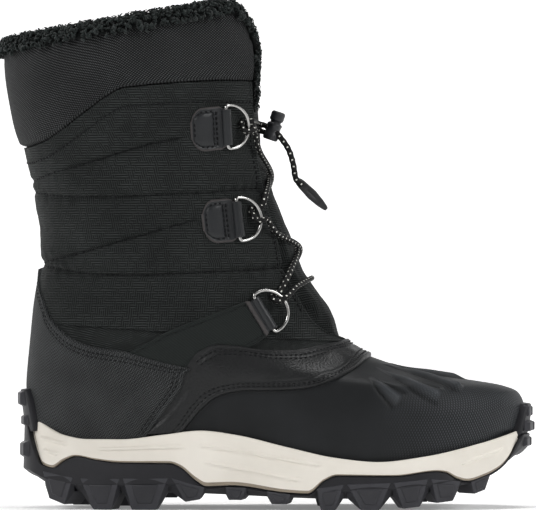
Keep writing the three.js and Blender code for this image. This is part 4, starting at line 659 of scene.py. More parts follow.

# %% [markdown]
# ### Sole, hardware, cord and fur
# The midsole is moulded EVA foam in cream. Its foot, where it is glued to the carbon-black rubber of the outsole,
# has a taupe band of painted shade where the foam turns in. Rings are steel with a nickel plate. The lace is a
# black polyester braid with pale flecks, where a reflective yarn comes to the surface.

# %% Foam, outsole rubber, metal, plastic
foam = drifting(
    "moulded EVA foam", "dcd5c7", 0.62, (26,), "d3cdc2", "ece7de", ((0.7,), 0.06, 0.4), Specular_IOR_Level=0.3
)
# A taupe tone for the foam's lowest rows: painted shade where the foam turns in above the rubber.
foam_foot_painted_shade = drifting("taupe painted shade at foam foot", "8a7f70", 0.6, (9,), "7a7062", "978b7b")
rubber_grain = ((1.2, 4), 0.12, 0.5)
carbon = drifting(
    "carbon black rubber", "2b2b2f", 0.52, (14, 5), "101013", "28282c", rubber_grain, Specular_IOR_Level=0.3
)
worn, tree, shader = start_material("carbon black rubber, worn edges", "2b2b2f", 0.5, Specular_IOR_Level=0.35)
dust = add(tree, "Math", {0: patches(tree, 14, 5), 1: 0.3}, operation="MULTIPLY")
scuffed = {0: edges_of(tree, 0.52, 0.68, 1.0), 1: 0.8, 2: dust}
paint(tree, shader, add(tree, "Math", scuffed, operation="MULTIPLY_ADD"), "101013", "4c4c52")
raise_surface(tree, shader, patches(tree, *rubber_grain[0]), *rubber_grain[1:])

nickel = drifting("nickel-plated steel", "b2b1af", 0.2, (7,), "a3a2a0", "c2c1bf", Metallic=1.0)
plastic = drifting("moulded acetal", "1a1b1f", 0.42, (5,), "151619", "26282c", ((0.5,), 0.05, 0.4))
tpu, tree, shader = start_material("moulded soft TPU", "16171a", 0.5)
paint(tree, shader, edges_of(tree, 0.51, 0.6, 0.8), "0e0f11", "55585c")
raise_surface(tree, shader, patches(tree, 0.6), 0.05, 0.4)

# %% Webbing, thread, lace, fur and lining
webbing, tree, shader = start_material(
    "polyester webbing", "1a1c1b", 0.8, Specular_IOR_Level=0.08, Sheen_Weight=0.05
)
fine = add(tree, "Math", {0: threads(tree, 0.6, 0), 1: 0.5}, operation="ADD")
ribs = add(tree, "Math", {0: threads(tree, 0.7, 90), 1: fine}, operation="MULTIPLY")
paint(tree, shader, ribs, "0c0e0d", "303433")
raise_surface(tree, shader, ribs, 0.12, 0.6)

thread = drifting(
    "bonded polyester thread", "08090a", 0.6, (1.5,), "050606", "121316", Specular_IOR_Level=0.2
)

lace_braid, tree, shader = start_material("flecked polyester braid", "131313", 0.65, Specular_IOR_Level=0.2)
cloth = add(tree, "UVMap", uv_map="cloth")
scaled = add(tree, "VectorMath", {0: cloth, 1: (2.0, 1 / BRAID_TURN, 1.0)}, operation="MULTIPLY")
turn, way = [add(tree, "SeparateXYZ", {0: scaled}, axis) for axis in "XY"]
gaps = []
for operation in ("ADD", "SUBTRACT"):
    wound = add(tree, "Math", {0: turn, 1: way}, operation=operation)
    gaps.append(add(tree, "Math", {0: wound, 1: 0.5}, operation="PINGPONG"))
gap = add(tree, "Math", {0: gaps[0], 1: gaps[1]}, operation="ADD")
paint(tree, shader, add(tree, "Math", {0: gap, 1: 0.2}, operation="LESS_THAN"), "111111", "d6d5cf")
raise_surface(tree, shader, patches(tree, 0.5), 0.08, 0.5)

fur_fibre, tree, shader = start_material(
    "acrylic sherpa pile", "171b1b", 0.9, Specular_IOR_Level=0.1, Sheen_Weight=0.08
)
# Lighter curl tips are painted highlight on the pile; darker roots and the roll below are painted shade.
tips = add(tree, "Attribute", out="Fac", attribute_name="tip", attribute_type="GEOMETRY")
paint(tree, shader, clouded(tree, tips, 6, 0.35), "030404", "2b3130")

lining = drifting(
    "brushed fleece lining", "151718", 0.95, (3,), "0e1010", "232626", ((2.2, 6, 0.7), 0.8, 0.8), Sheen_Weight=0.3
)
print("materials:", len(bpy.data.materials))

# %% [markdown]
# ## The upper
# The upper is one wall, sewn from three cloths. Rubber covers the foot, ripstop nylon the shaft, and padded
# ballistic nylon the cuff. It is worked out as two grids of points, outside and inside, so that it has a real
# thickness at the collar and the throat. Rows follow the last's levels and then bend to the cuff's seam.

# %% Rows of the upper, throat and seams
THROAT = [
    # level, and the degrees from the middle to the throat's edge
    (10.3, 0), (10.7, 22), (11.4, 30), (12.2, 31), (13, 30), (13.8, 28), (14.6, 27), (15.4, 28), (16.2, 29),
    (17, 29), (19, 28),
]  # fmt: skip
TONGUE_STAND = [-1.5, -0.5, 2.4, 2, 0.2, 0.4, -0.8, -3, -5, -5.2, -5.2]
CUFF_SEAM = [
    (-0.5, 0.722), (-0.464, 0.722), (-0.435, 0.73), (-0.394, 0.756), (-0.35, 0.79), (-0.306, 0.823),
    (-0.276, 0.838), (-0.22, 0.844), (-0.148, 0.85), (-0.074, 0.853), (0.02, 0.85),
]  # fmt: skip
CORNER_DROP, CORNER_ANGLE, CUFF_RISE = 0.75, 22 * RADIANS, 1.2
throat_rows, throat_angles = np.array(THROAT, float).T
throat = curve(throat_rows, throat_angles * RADIANS)
tongue_stand = curve(throat_rows, TONGUE_STAND)


def level_of_edge(rows):
    """The level at each angle of a line seen from the side."""
    x, z = np.array(rows, float).T
    angle, level = locate(x * LENGTH, z * HEIGHT)
    order = np.argsort(angle)
    angle, level = angle[order], level[order]
    keep = np.append(True, np.diff(angle) > 1e-3)
    return curve(angle[keep], level[keep])


seam_level = level_of_edge(CUFF_SEAM)


def row_level(row, angle):
    """The level of a row at an angle: its own up to the shaft, then bent to follow the cuff's seam, and the
    collar line falls away towards the throat, which rounds the cuff's front corners."""
    seam = seam_level(side_angle(angle))
    bent = mix(BEND_ROW, seam, (row - BEND_ROW) / (SEAM_ROW - BEND_ROW))
    up = np.clip((row - SEAM_ROW) / (TOP - SEAM_ROW), 0, 1)
    from_edge = np.clip((side_angle(angle) - throat(row)) / CORNER_ANGLE, 0, 1)
    cuff = mix(seam, TOP, up) - up * CORNER_DROP * (1 - from_edge) ** 2.5
    return np.where(row <= BEND_ROW, row, np.where(row <= SEAM_ROW, bent, cuff))


def open_grid(rows, columns):
    """Angles from one front edge round the heel to the other, closer together near both edges, and the
    levels of the rows there."""
    share = np.linspace(0, 1, columns)
    share = mix(share, (1 - np.cos(np.pi * share)) / 2, 0.6)
    edge = throat(rows)[:, None]
    angle = edge + share * (2 * np.pi - 2 * edge)
    return angle, row_level(rows[:, None], angle)


# %% [markdown]
# ### Quilting
# The shaft is quilted: the lining is sewn to the shell along four lines on each side, and the wadding puffs up
# between them. The lines are read off the photograph as heights along the boot. Each makes a soft trough with
# small puckers across it, as thread pulls cloth, and its stitches are laid in it afterwards.

# %% Quilting lines and the shaft
QUILTING = {
    "high, to the top tab": [
        (-118, 164), (-107, 168), (-96.5, 170.5), (-87, 173.3),
        (-73, 177.5), (-57.5, 181.8), (-44, 184.5),
    ],
    "above the middle": [
        (-118, 158.3), (-106, 156), (-94, 155.4), (-74, 155.4),
        (-54, 156.5), (-34.5, 157.3), (-16.5, 159), (-6, 160),
    ],
    "to the middle tab": [
        (-115, 122.8), (-104, 125.5), (-94, 127.8), (-80.5, 131.5),
        (-67, 135.2), (-53.7, 139), (-37, 144),
    ],
    "over the ankle": [
        (-115, 122), (-107, 120), (-87, 117), (-67, 116.5),
        (-54, 116.8), (-34.5, 118), (-11, 119.3), (9, 121.2),
    ],
}  # fmt: skip
quilting = []
for name, places in QUILTING.items():
    x, z = np.array(places, float).T
    quilting.append((curve(x, z), x[0], x[-1]))


def quilt(points):
    """How far the shell lies from the last, in millimetres, from the distance to the nearest lines."""
    x, z = points[..., 0], points[..., 2]
    total = np.full(x.shape, 0.55)
    grain = ripple(points, 5.2, 4)
    fade = 0.45 + 0.55 * smooth(x, -115, -95)
    for read, first, end in quilting:
        run = np.clip(x + 0.5, first, end) - np.clip(x - 0.5, first, end)
        slope = (read(x + 0.5) - read(x - 0.5)) / np.clip(run, 0.5, 1)
        away = (z - read(x)) / np.sqrt(1 + slope**2)
        here = 1 - smooth(x, end - 1, end + 4)
        total -= here * fade * (1.8 * bump(away, 1.3) + 1.2 * bump(away, 5) - 0.6 * grain * bump(away, 4.5))
    return total + 0.25 + 0.4 * ripple(points, 26, 2) + 0.12 * ripple(points * (1, 1, 2.4), 9, 3)


ROWS, AROUND = 168, 256
rows = np.linspace(10.3, 17, ROWS + 1)
angle, level = open_grid(rows, AROUND + 1)
edge_away = np.minimum(np.arange(AROUND + 1), np.arange(AROUND + 1)[::-1]) * 0.75
hem = -1.1 * bump(edge_away, 1.1) + 0.5 * bump(edge_away - 3, 1.6)
outer = over_last(angle, level, quilt(last(angle, level)) + hem)
walls = skin(outer, over_last(angle, level, -WALL), lining=True)
walls["uv"][:, 1] = walls["points"][:, 2]
shaft = make_piece("shaft", **walls, materials=[ripstop, lining], slot="shell_fabric")

# %% [markdown]
# ### Padded cuff
# The cuff stands a little proud of the shaft and swells with its wadding. It rolls in at the seam below it,
# and short pleats under the fur take up the cloth where the collar turns.

# %% Cuff
PLEATS = [
    # x, length, depth
    (-83, 6, 0.9), (-96, 4, 0.5), (-65, 9, 0.9), (-50, 4, 0.4), (-28, 5, 0.6), (-108, 5, 0.5), (-10, 5, 0.5),
]  # fmt: skip
ROWS = 64
rows = np.linspace(17, 19, ROWS + 1)
angle, level = open_grid(rows, AROUND + 1)
bare = last(angle, level)
up = np.linspace(0, 1, ROWS + 1)[:, None] * np.ones(AROUND + 1)
drop = np.linalg.norm(bare - bare[-1:], axis=-1)
pad = CUFF_RISE + 1.5 * np.sin(np.pi * np.clip(up, 0, 1)) ** 0.6 - 2.6 * bump(up * 45, 1.3)
pad -= 1.1 * bump(edge_away, 1.6) + 0.4 * up**4
for x, length, depth in PLEATS:
    pad -= 1.5 * depth * bump(bare[..., 0] - x - 0.12 * drop, 1.3) * bump(drop, length)
pad += 0.35 * ripple(bare, 30, 8) + 0.5 * bump(drop, 7) * ripple(bare, 8, 9) * 0.5
walls = skin(over_last(angle, level, pad), over_last(angle, level, -WALL), lining=True)
cuff = make_piece("padded_cuff", **walls, materials=[ballistic, lining], slot="shell_fabric")

# %% [markdown]
# ### Rubber over the foot
# The lower part of the wall is closed at the front. Where it shows it is rubber, with flex ribs that fan out
# from the instep: each is a ridge, narrow at its root and blunt at its end. Behind the band it is nylon, and
# a line along the middle of the band, where nobody sees it, parts the two.

# %% Edges of the band and the counter
COUNTER_TOP = [
    (-0.445, 0.482), (-0.438, 0.459), (-0.43, 0.421), (-0.412, 0.376), (-0.381, 0.344), (-0.335, 0.325),
    (-0.27, 0.3145), (-0.197, 0.294), (-0.165, 0.287), (-0.148, 0.281),
]  # fmt: skip
COUNTER_FRONT = [(0.14, -0.242), (0.19, -0.197), (0.24, -0.158), (0.272, -0.15), (0.287, -0.1505)]
BAND_TOP = [
    (-0.249, 0.15), (-0.206, 0.192), (-0.168, 0.24), (-0.163, 0.265), (-0.157, 0.292), (-0.133, 0.318),
    (-0.1, 0.331), (-0.062, 0.327), (-0.01, 0.318), (0.042, 0.316), (0.085, 0.323), (0.114, 0.329),
]  # fmt: skip
BAND_BOTTOM = [
    (-0.164, 0.156), (-0.145, 0.18), (-0.122, 0.206), (-0.105, 0.22), (-0.086, 0.229), (-0.066, 0.234),
    (-0.04, 0.237), (0, 0.237), (0.045, 0.2385), (0.0798, 0.2428), (0.1258, 0.2585), (0.1481, 0.2697),
    (0.1704, 0.2835),
]  # fmt: skip
BAND_CREST = {"top": [(22, 10.24), (11, 10.38), (0, 10.42)], "bottom": [(25, 9.02), (12.5, 9.27), (0, 9.35)]}
MIDSOLE_RIM = [
    (-0.465, 0.186), (-0.435, 0.168), (-0.395, 0.148), (-0.35, 0.1405), (-0.285, 0.1405), (-0.2, 0.15),
    (-0.13, 0.158), (-0.065, 0.15), (0.035, 0.1255), (0.13, 0.104), (0.21, 0.096), (0.3, 0.1065),
    (0.41, 0.132), (0.487, 0.155),
]  # fmt: skip
midsole_rim = side_line(MIDSOLE_RIM)
counter_top_level = level_of_edge(COUNTER_TOP)
counter_front = curve(*np.array(COUNTER_FRONT, float).T)


def edge_path(rows, crest=()):
    """Angle and level along an edge, from places seen from the side and then places over the instep."""
    x, z = np.array(rows, float).T
    angle, level = locate(x * LENGTH, z * HEIGHT)
    if len(crest):
        more_angle, more_level = np.array(crest, float).T
        angle, level = np.append(angle, more_angle * RADIANS), np.append(level, more_level)
    share = np.linspace(0, 1, len(angle))
    return curve(share, angle), curve(share, level)


band_top = edge_path(BAND_TOP, BAND_CREST["top"])
band_bottom = edge_path(BAND_BOTTOM, BAND_CREST["bottom"])


def band_place(up, around):
    """A place on the band: up from 0 to 1 across it, around from 0 to 1 over the instep."""
    s = 1 - np.abs(around * 2 - 1)
    low, high = [path(s) for path in band_bottom], [path(s) for path in band_top]
    sign = np.where(around < 0.5, 1, -1)
    return sign * mix(low[0], high[0], up), mix(low[1], high[1], up)


def counter_place(up, around):
    """A place on the counter: up from the sole's rim, around from one front edge by the heel to the other."""
    z = mix(0.15, COUNTER_FRONT[-1][0], np.clip(up, 0, 1))
    front_edge = locate(counter_front(z) * LENGTH, z * HEIGHT)[0]
    angle = np.pi + (around * 2 - 1) * (np.pi - front_edge)
    side = side_angle(angle)
    rim = level_at(side, midsole_rim, 0, 5) + 0.04
    heights = mix(last(side, rim)[..., 2], last(side, counter_top_level(side))[..., 2], up)
    return angle, level_at(side, heights)


# %% Vamp with its flex ribs
VAMP_RIBS = [
    ((0.2231, 0.288), (0.372, 0.243)),
    ((0.2106, 0.281), (0.3288, 0.226)),
    ((0.1962, 0.264), (0.25, 0.216)),
]
CREST_RIB = (8.75, 6.45)
RIB_WIDTH, RIB_RISE = 7.0, 2.4


def rib_relief(points, normals, angle, level):
    """The ribs' height over each point. A point's place along a rib is that of the rib's nearest point. Across
    it the ridge is a power of a cosine, with a shallow groove at its foot."""
    total, groove = np.zeros((2, *points.shape[:-1]))
    s = np.linspace(0, 1, 41)
    paths = [(np.zeros(41), mix(CREST_RIB[0], CREST_RIB[1], s))]
    for start, end in VAMP_RIBS:
        way_angle, way_level = locate(mix(start[0], end[0], s) * LENGTH, mix(start[1], end[1], s) * HEIGHT)
        paths += [(sign * way_angle, way_level) for sign in (1, -1)]
    near = (points[..., 0] > 35) & (points[..., 2] > 45)
    p, n = points[near], normals[near]
    for way in paths:
        line = last(*way)
        gap = np.linalg.norm(p[:, None] - line[None], axis=-1)
        i = gap.argmin(1)
        ahead = unit(np.gradient(line, axis=0))[i]
        off = p - line[i]
        along = np.einsum("ij,ij->i", off, ahead)
        off = off - ahead * along[:, None]
        off = off - n * np.einsum("ij,ij->i", off, n)[:, None]
        share = s[i] + along / np.linalg.norm(line[-1] - line[0])
        wide = RIB_WIDTH / 2 * mix(0.36, 1.0, np.clip(share, 0, 1))
        away = np.linalg.norm(off, axis=1) / wide
        end_from = 0.78 if way is paths[0] else 0.93
        rise = mix(0.15, 1.0, smooth(share * 1.8)) * smooth(share, -0.04, 0.04)
        rise = rise * (1 - smooth(share, end_from, 1.03))
        ridge = np.cos(np.clip(away / 1.2, 0, 1) * np.pi / 2) ** 1.3
        total[near] = np.maximum(total[near], RIB_RISE * ridge * rise)
        groove[near] = np.maximum(groove[near], 0.7 * bump(away - 1.4, 0.32) * rise)
    return total - groove * (1 - total / RIB_RISE)


ROWS, COLUMNS_AROUND = 120, 400
# Rows and columns lie closer together where the ribs are
level = np.interp(np.linspace(0, 1, ROWS + 1), [0, 0.17, 0.9, 1], [0.7, 3.3, 9.3, 10.3])
angle = np.interp(np.linspace(-1, 1, COLUMNS_AROUND + 1), [-1, -0.62, 0.62, 1], [-180, -72, 72, 180])
level, angle = np.meshgrid(level, angle * RADIANS, indexing="ij")
bare, normals = last(angle, level), last_normal(angle, level)
ribs = rib_relief(bare, normals, angle, level)
outer = bare + normals * (ribs + 0.18 * ripple(bare, 34, 12))[..., None]
inner = over_last(angle, level, -WALL)
s = np.linspace(0, 1, 200)
middle_angle, middle_level = [mix(low(s), high(s), 0.5) for low, high in zip(band_bottom, band_top)]
order = np.argsort(middle_angle)
parting_level = np.interp(side_angle(angle), middle_angle[order], middle_level[order])
above = (level > parting_level) | (side_angle(angle) > middle_angle.max())
pick = above[:-1, :-1].ravel().astype(int)
walls = skin(outer, inner, lining=2, pick=pick)
vamp = make_piece("rubber_vamp", **walls, materials=[moulded, ripstop, lining], slot="shell_fabric")
# Each point's rib height, kept for the shader: painted highlight on the rib tops, painted shade in the grooves
# beside them.
painted_rib_light_share = np.zeros(len(vamp.data.vertices), np.float32)
painted_rib_light_share[: ribs.size] = ribs.ravel() / RIB_RISE
vamp.data.attributes.new("crest", "FLOAT", "POINT").data.foreach_set("value", painted_rib_light_share)
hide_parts("upper")
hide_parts("upper")
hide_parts("upper")

# %% [markdown]
# ## Overlays and their stitching
# The counter and the band are cut pieces laid over the upper. Each is a grid on the last whose height rises
# in a round edge, swells to a rim outside its two rows of stitches, and dips where the thread pulls it down.

# %% Overlay helper
CLEARANCE = 0.35
OVERLAY_INSIDE = -0.9  # how far an overlay's hidden side lies under the upper's face


def way_along(grid, axis):
    """Distance of each point from the first one, along rows (axis 1) or columns (axis 0)."""
    step = np.linalg.norm(np.diff(grid, axis=axis), axis=-1)
    zero = np.zeros_like(step[:1] if axis == 0 else step[:, :1])
    return np.concatenate([zero, step.cumsum(axis)], axis)


def edge_height(away, thickness, rim=0.35, rows=()):
    """Height of an overlay at a distance from its edge: a quarter round, a rim, and a dip at each row."""
    height = thickness * quarter_round(away, 1.1) + rim * bump(away - 1.5, 1.2)
    for row in rows:
        height = height - 0.32 * bump(away - row, 0.55)
    return height


def stitch_row(line, normals, pitch=2.5, length=1.8, thick=0.62):
    """Stitches along a line: each is a short arched bar, five rings of six points, sunk at both ends."""
    way = walked(line)
    count = int(way[-1] / pitch)
    at = (np.arange(count) + 0.5) * way[-1] / count
    read = lambda table, where: np.stack([np.interp(where, way, table[:, k]) for k in range(3)], -1)
    middle, out = read(line, at), unit(read(normals, at))
    ahead = unit(read(line, at + 0.4) - read(line, at - 0.4))
    across = unit(np.cross(out, ahead))
    s = np.array([-0.5, -0.3, 0, 0.3, 0.5])
    radius = thick / 2 * np.array([0.55, 0.95, 1, 0.95, 0.55])
    sink = -thick * np.array([0.75, 0.12, 0, 0.12, 0.75])
    turn = np.arange(6) * np.pi / 3
    ring = across[:, None, None] * np.cos(turn)[:, None] + out[:, None, None] * np.sin(turn)[:, None]
    spine = middle[:, None] + ahead[:, None] * (s * length)[:, None] + out[:, None] * sink[:, None]
    points = spine[:, :, None] + ring * radius[:, None, None]
    ids = np.arange(points.size // 3).reshape(count, 5, 6)
    fans = [np.stack([ids[:, 0, 0], ids[:, 0, k + 1], ids[:, 0, k]], -1) for k in range(1, 5)]
    fans += [np.stack([ids[:, -1, 0], ids[:, -1, k], ids[:, -1, k + 1]], -1) for k in range(1, 5)]
    faces = [quads(ids, wrap=True)[:, ::-1], np.concatenate(fans)[:, ::-1]]
    return points.reshape(-1, 3), faces, np.zeros((points.size // 3, 2))


def sew(angle, level, out, *stitch):
    """A row of stitches along a line on the last that lies out from it."""
    return stitch_row(over_last(angle, level, out), last_normal(angle, level), *stitch)


# %% [markdown]
# ### Heel counter
# The counter wraps the heel from the sole's rim to a point at the back of the ankle. Its front edges slope
# forward and end in a rounded corner, under which the ankle strap disappears.

# %% Heel counter
COUNTER_THICKNESS, CORNER, COUNTER_ROWS = 1.6, 3.5, (3.2, 5.2)
UP, AROUND = 72, 336
share = np.linspace(0, 1, AROUND + 1)
share = mix(share, (1 - np.cos(np.pi * share)) / 2, 0.5)
up, around = np.meshgrid(np.linspace(0, 1, UP + 1), share, indexing="ij")
angle, level = counter_place(up, around)
bare = last(angle, level)
rows_way, columns_way = way_along(bare, 1), way_along(bare, 0)
from_front = np.minimum(rows_way, rows_way[:, -1:] - rows_way)
from_top = columns_way[-1:] - columns_way
near_corner = np.clip([CORNER - from_front, CORNER - from_top], 0, None)
in_corner = (from_front < CORNER) & (from_top < CORNER)
from_edge = np.minimum(from_front, from_top)
from_edge = np.where(in_corner, CORNER - np.sqrt(near_corner[0] ** 2 + near_corner[1] ** 2), from_edge)
height = edge_height(from_edge, COUNTER_THICKNESS, rows=COUNTER_ROWS)
height += 0.35 * ripple(bare, 38, 21) * smooth(from_edge, 4, 14)
height = np.where(from_edge < 0, -0.6, height)
outer = over_last(angle, level, CLEARANCE * 0.4 + height)
walls = skin(outer, over_last(angle, level, OVERLAY_INSIDE))
make_piece(
    "heel_counter_cover", **walls, materials=[embossed], slot="coated_textile", replaces=["heel_counter"]
)
counter_stitches = []


def edge_row(inset, side):
    """One row of stitches round the counter: up the front edge, round its corner and along the top edge."""
    half = slice(0, AROUND // 2 + 1) if side == "lateral" else slice(AROUND, AROUND // 2 - 1, -1)
    near, grid, out = from_edge[:, half], outer[:, half], last_normal(angle, level)[:, half]
    points, ways = [], []
    for i in range(2, near.shape[0] - 1):
        row = near[i]
        j = np.flatnonzero((row[:-1] < inset) & (row[1:] >= inset))
        if len(j) and j[0] < near.shape[1] // 3:
            t = (inset - row[j[0]]) / (row[j[0] + 1] - row[j[0]])
            points.append(mix(grid[i, j[0]], grid[i, j[0] + 1], t))
            ways.append(mix(out[i, j[0]], out[i, j[0] + 1], t))
    top_points, top_ways = [], []
    for j in range(near.shape[1]):
        column = near[:, j]
        i = np.flatnonzero((column[:-1] >= inset) & (column[1:] < inset))
        if len(i):
            t = (column[i[-1]] - inset) / (column[i[-1]] - column[i[-1] + 1])
            top_points.append(mix(grid[i[-1], j], grid[i[-1] + 1, j], t))
            top_ways.append(mix(out[i[-1], j], out[i[-1] + 1, j], t))
    first = int(np.argmin(np.linalg.norm(np.array(top_points) - points[-1], axis=1))) + 1
    return np.array(points + top_points[first:]), np.array(ways + top_ways[first:])


for inset in COUNTER_ROWS:
    for side in ("lateral", "medial"):
        line, out = edge_row(inset, side)
        counter_stitches.append(stitch_row(line + out * 0.12, out))

# %% [markdown]
# ### Band over the vamp
# The band runs from the sole behind the arch, up and over the instep and down again. It is soft leather, so
# it swells a little between its two double rows of stitches.

# %% Band
BAND_THICKNESS, BAND_ROWS = 1.5, (2.9, 4.9)
UP, AROUND = 56, 512
up, around = np.meshgrid(np.linspace(0, 1, UP + 1), np.linspace(0, 1, AROUND + 1), indexing="ij")
band_angle, band_level = band_place(up, around)
bare = last(band_angle, band_level)
normals = last_normal(band_angle, band_level)
columns_way = way_along(bare, 0)
widths = columns_way[-1]
from_low, from_high = columns_way, widths - columns_way
from_edge = np.minimum(from_low, from_high)
tucked = 1 - smooth(1 - np.abs(around * 2 - 1), 0.27, 0.38)
free_edge = edge_height(from_edge, BAND_THICKNESS, 0.3, BAND_ROWS)
tucked_edge = edge_height(from_low, BAND_THICKNESS, 0.3, BAND_ROWS) - 0.9 * (1 - smooth(from_high, 2, 6))
height = mix(free_edge, tucked_edge, tucked) + 0.5 * np.sin(np.pi * up) * smooth(widths, 9, 20)
height = height + 0.3 * ripple(bare, 17, 31) * smooth(from_edge, 4, 8)
outer = bare + normals * (CLEARANCE * 0.4 + height)[..., None]
walls = skin(outer, over_last(band_angle, band_level, OVERLAY_INSIDE))
make_piece("vamp_band_cover", **walls, materials=[leather], slot="synthetic_leather", replaces=["vamp_band"])

band_stitches = []
for inset in BAND_ROWS:
    for side in ("low", "high"):
        share = np.clip(inset / widths, 0, 0.46)
        share = share if side == "low" else 1 - share
        far = 1 - np.abs(np.arange(AROUND + 1) / AROUND * 2 - 1)
        keep = far > (0.03 if side == "low" else 0.31)
        where = share * UP
        i = np.minimum(where.astype(int), UP - 1)
        t = (where - i)[:, None]
        columns = np.arange(AROUND + 1)
        line = mix(outer[i, columns], outer[i + 1, columns], t) + 0.1 * normals[i, columns]
        for half in (columns <= AROUND // 2, columns >= AROUND // 2):
            band_stitches.append(stitch_row(line[keep & half], normals[i, columns][keep & half]))

# %% [markdown]
# ### Tongue
# The tongue is a padded panel behind the throat. It swells forward between the shaft's edges, and its gusset
# crumples above the band where the foot bends.

# %% Tongue
TONGUE_THICKNESS, TONGUE_TOP = 4.0, 18.4
UP, ACROSS = 128, 96
up, across = np.meshgrid(np.linspace(0, 1, UP + 1), np.linspace(0, 1, ACROSS + 1), indexing="ij")
level = mix(10.1, TONGUE_TOP, up)
behind = throat(np.maximum(level, 11)) + 8 * RADIANS
reach = mix(behind, 19 * RADIANS, smooth((level - 15.2) / 1.2))
angle = (across * 2 - 1) * reach
free = np.abs(angle) / np.maximum(throat(level), 0.05)
tucked = -WALL - CLEARANCE - 0.6
stand = mix(tongue_stand(level), np.minimum(tucked, tongue_stand(level)), smooth((free - 0.45) / 0.5))
stand = mix(tucked + 0 * level, stand, smooth(level, 10.15, 10.75))
bare = last(angle, level)
edge = np.minimum(np.minimum(across, 1 - across) * 40, (1 - up) * 110)
aside = np.abs(across - 0.5)
folds = 1.5 * bump(level - 11.35, 0.3) * np.sin(9 * aside * 2 + 1.2) * smooth(aside, 0.12, 0.3)
folds += 1.3 * bump(aside - 0.27, 0.035) * smooth(level, 11, 12) * (1 - smooth(level, 13.6, 15))
folds += 0.9 * bump(level - 12.1, 0.35) * np.sin(7 * across + 2.5) * smooth(aside, 0.1, 0.3)
relief = folds + 0.35 * ripple(bare, 15, 41) - 1.2 * bump(edge, 1.2)
outer = over_last(angle, level, stand + relief)
inner = over_last(angle, level, stand - TONGUE_THICKNESS + 1.2 * bump(edge, 1.2))
walls = skin(outer, inner, lining=True)
make_piece("padded_tongue", **walls, materials=[ripstop, lining], slot="shell_fabric", replaces=["tongue"])

# %% [markdown]
# ## The sole
# The midsole is a cup of foam that holds the upper. The outsole is a dish of rubber round the foam's core. It
# climbs both ends as bumpers and carries the lugs. Both are lofted from rings round the whole boot: each ring
# gives, for every angle, how far out from the last it lies and at what height.

# %% Lines and helpers of the sole
PARTING_LINE = [
    (-0.462, 0.178), (-0.452, 0.13), (-0.436, 0.089), (-0.414, 0.083), (-0.392, 0.098), (-0.368, 0.107),
    (-0.33, 0.1), (-0.285, 0.095), (-0.19, 0.094), (-0.17, 0.087), (-0.138, 0.059), (-0.119, 0.048),
    (-0.07, 0.05), (0.035, 0.036), (0.075, 0.034), (0.105, 0.059), (0.13, 0.07), (0.24, 0.069),
    (0.32, 0.078), (0.337, 0.076), (0.36, 0.063), (0.379, 0.058), (0.41, 0.067), (0.438, 0.082),
    (0.462, 0.105), (0.48, 0.134), (0.488, 0.15),
]  # fmt: skip
TREAD_LINE = [
    (-0.46, 0.062), (-0.42, 0.041), (-0.35, 0.032), (-0.18, 0.034), (-0.1, 0.031), (0.05, 0.024),
    (0.13, 0.022), (0.25, 0.026), (0.34, 0.038), (0.41, 0.06), (0.46, 0.083), (0.49, 0.104),
]  # fmt: skip
RIM_OUT, SIDE_OUT, END_OUT = 3.0, 4.2, 1.4
SKIN_RECESS, SKIN_END_OUT, SKIN_THICKNESS, TREAD_PLATE, TREAD_CHAMFER = 1.1, 4.4, 2.4, 3.0, 7.0
tread_line, bare_parting = side_line(TREAD_LINE), side_line(PARTING_LINE)
parting = lambda x: np.minimum(bare_parting(x), midsole_rim(x) - 1)
plate_top = lambda x: np.minimum(tread_line(x) + TREAD_PLATE, parting(x) - 0.5)
skin_foot = lambda x: np.minimum(tread_line(x) + 0.018 * HEIGHT, parting(x) - 1.4)


def endness(angle):
    """How much a place is at the very toe or heel, where the bumpers wrap: 1 there, 0 along the sides."""
    away = np.minimum(side_angle(angle), np.pi - side_angle(angle)) / RADIANS
    return 1 - smooth((away - 12) / 18)


def plan(angle, out, z):
    """A place level with the last's rim and out from it, at a height that may follow the outline's x."""
    flat = unit(last_normal(angle, 2.0) * (1, 1, 0))
    rim = last(angle, 2.0)
    outline = rim[..., 0] + flat[..., 0] * RIM_OUT
    place = rim + flat * np.asarray(out, float)[..., None]
    place[..., 2] = z(outline) if callable(z) else z
    return place


skin_out = lambda angle: mix(SIDE_OUT - SKIN_RECESS, SKIN_END_OUT, endness(angle))
skin_flare = lambda angle: mix(0.6, np.where(np.cos(angle) > 0, -1.0, 0.6), endness(angle))


def loft_loop(rings, name, materials, material_of_row=None, **more):
    """Closed body through rings of equally many points that start at the toe: sides from ring to ring, and
    both ends closed with rungs from side to side."""
    grid = np.stack(rings)
    count = grid.shape[1]
    ids = np.arange(grid.shape[0] * count).reshape(grid.shape[:2])
    sides = quads(ids, wrap=True)
    i = np.arange(1, count // 2 - 1)
    rungs = lambda ring: np.stack([ring[i], ring[i + 1], ring[count - i - 1], ring[count - i]], -1)
    tips = lambda ring: np.array([ring[[0, 1, -1]], ring[count // 2 + np.array([-1, 0, 1])]])
    ends = np.concatenate([rungs(ids[0])[:, ::-1], rungs(ids[-1])])
    corners = np.concatenate([tips(ids[0])[:, ::-1], tips(ids[-1])])
    numbers = None
    if material_of_row is not None:
        numbers = np.concatenate([np.repeat(material_of_row, count), np.zeros(len(ends) + len(corners), int)])
    cloth = arc_uv(np.concatenate([grid, grid[:, :1]], 1))[:, :-1]
    return make_piece(name, grid, [np.concatenate([sides, ends]), corners], materials, numbers, cloth, **more)


loop = np.arange(480) * 2 * np.pi / 480

# %% [markdown]
# ### Midsole
# Its lip is rounded, and raised lines along its side follow the outline of the photograph's moulding. The last
# millimetre above the rubber is taupe: painted shade where the foam turns in above the rubber.

# %% Midsole
SIDE_RIBS = [
    ((-0.438, 0.142), (-0.388, 0.13)), ((-0.432, 0.117), (-0.404, 0.11)), ((-0.32, 0.121), (-0.163, 0.126)),
    ((-0.128, 0.128), (0.098, 0.09)), ((-0.12, 0.095), (0.06, 0.059)), ((0.371, 0.092), (0.447, 0.12)),
]  # fmt: skip


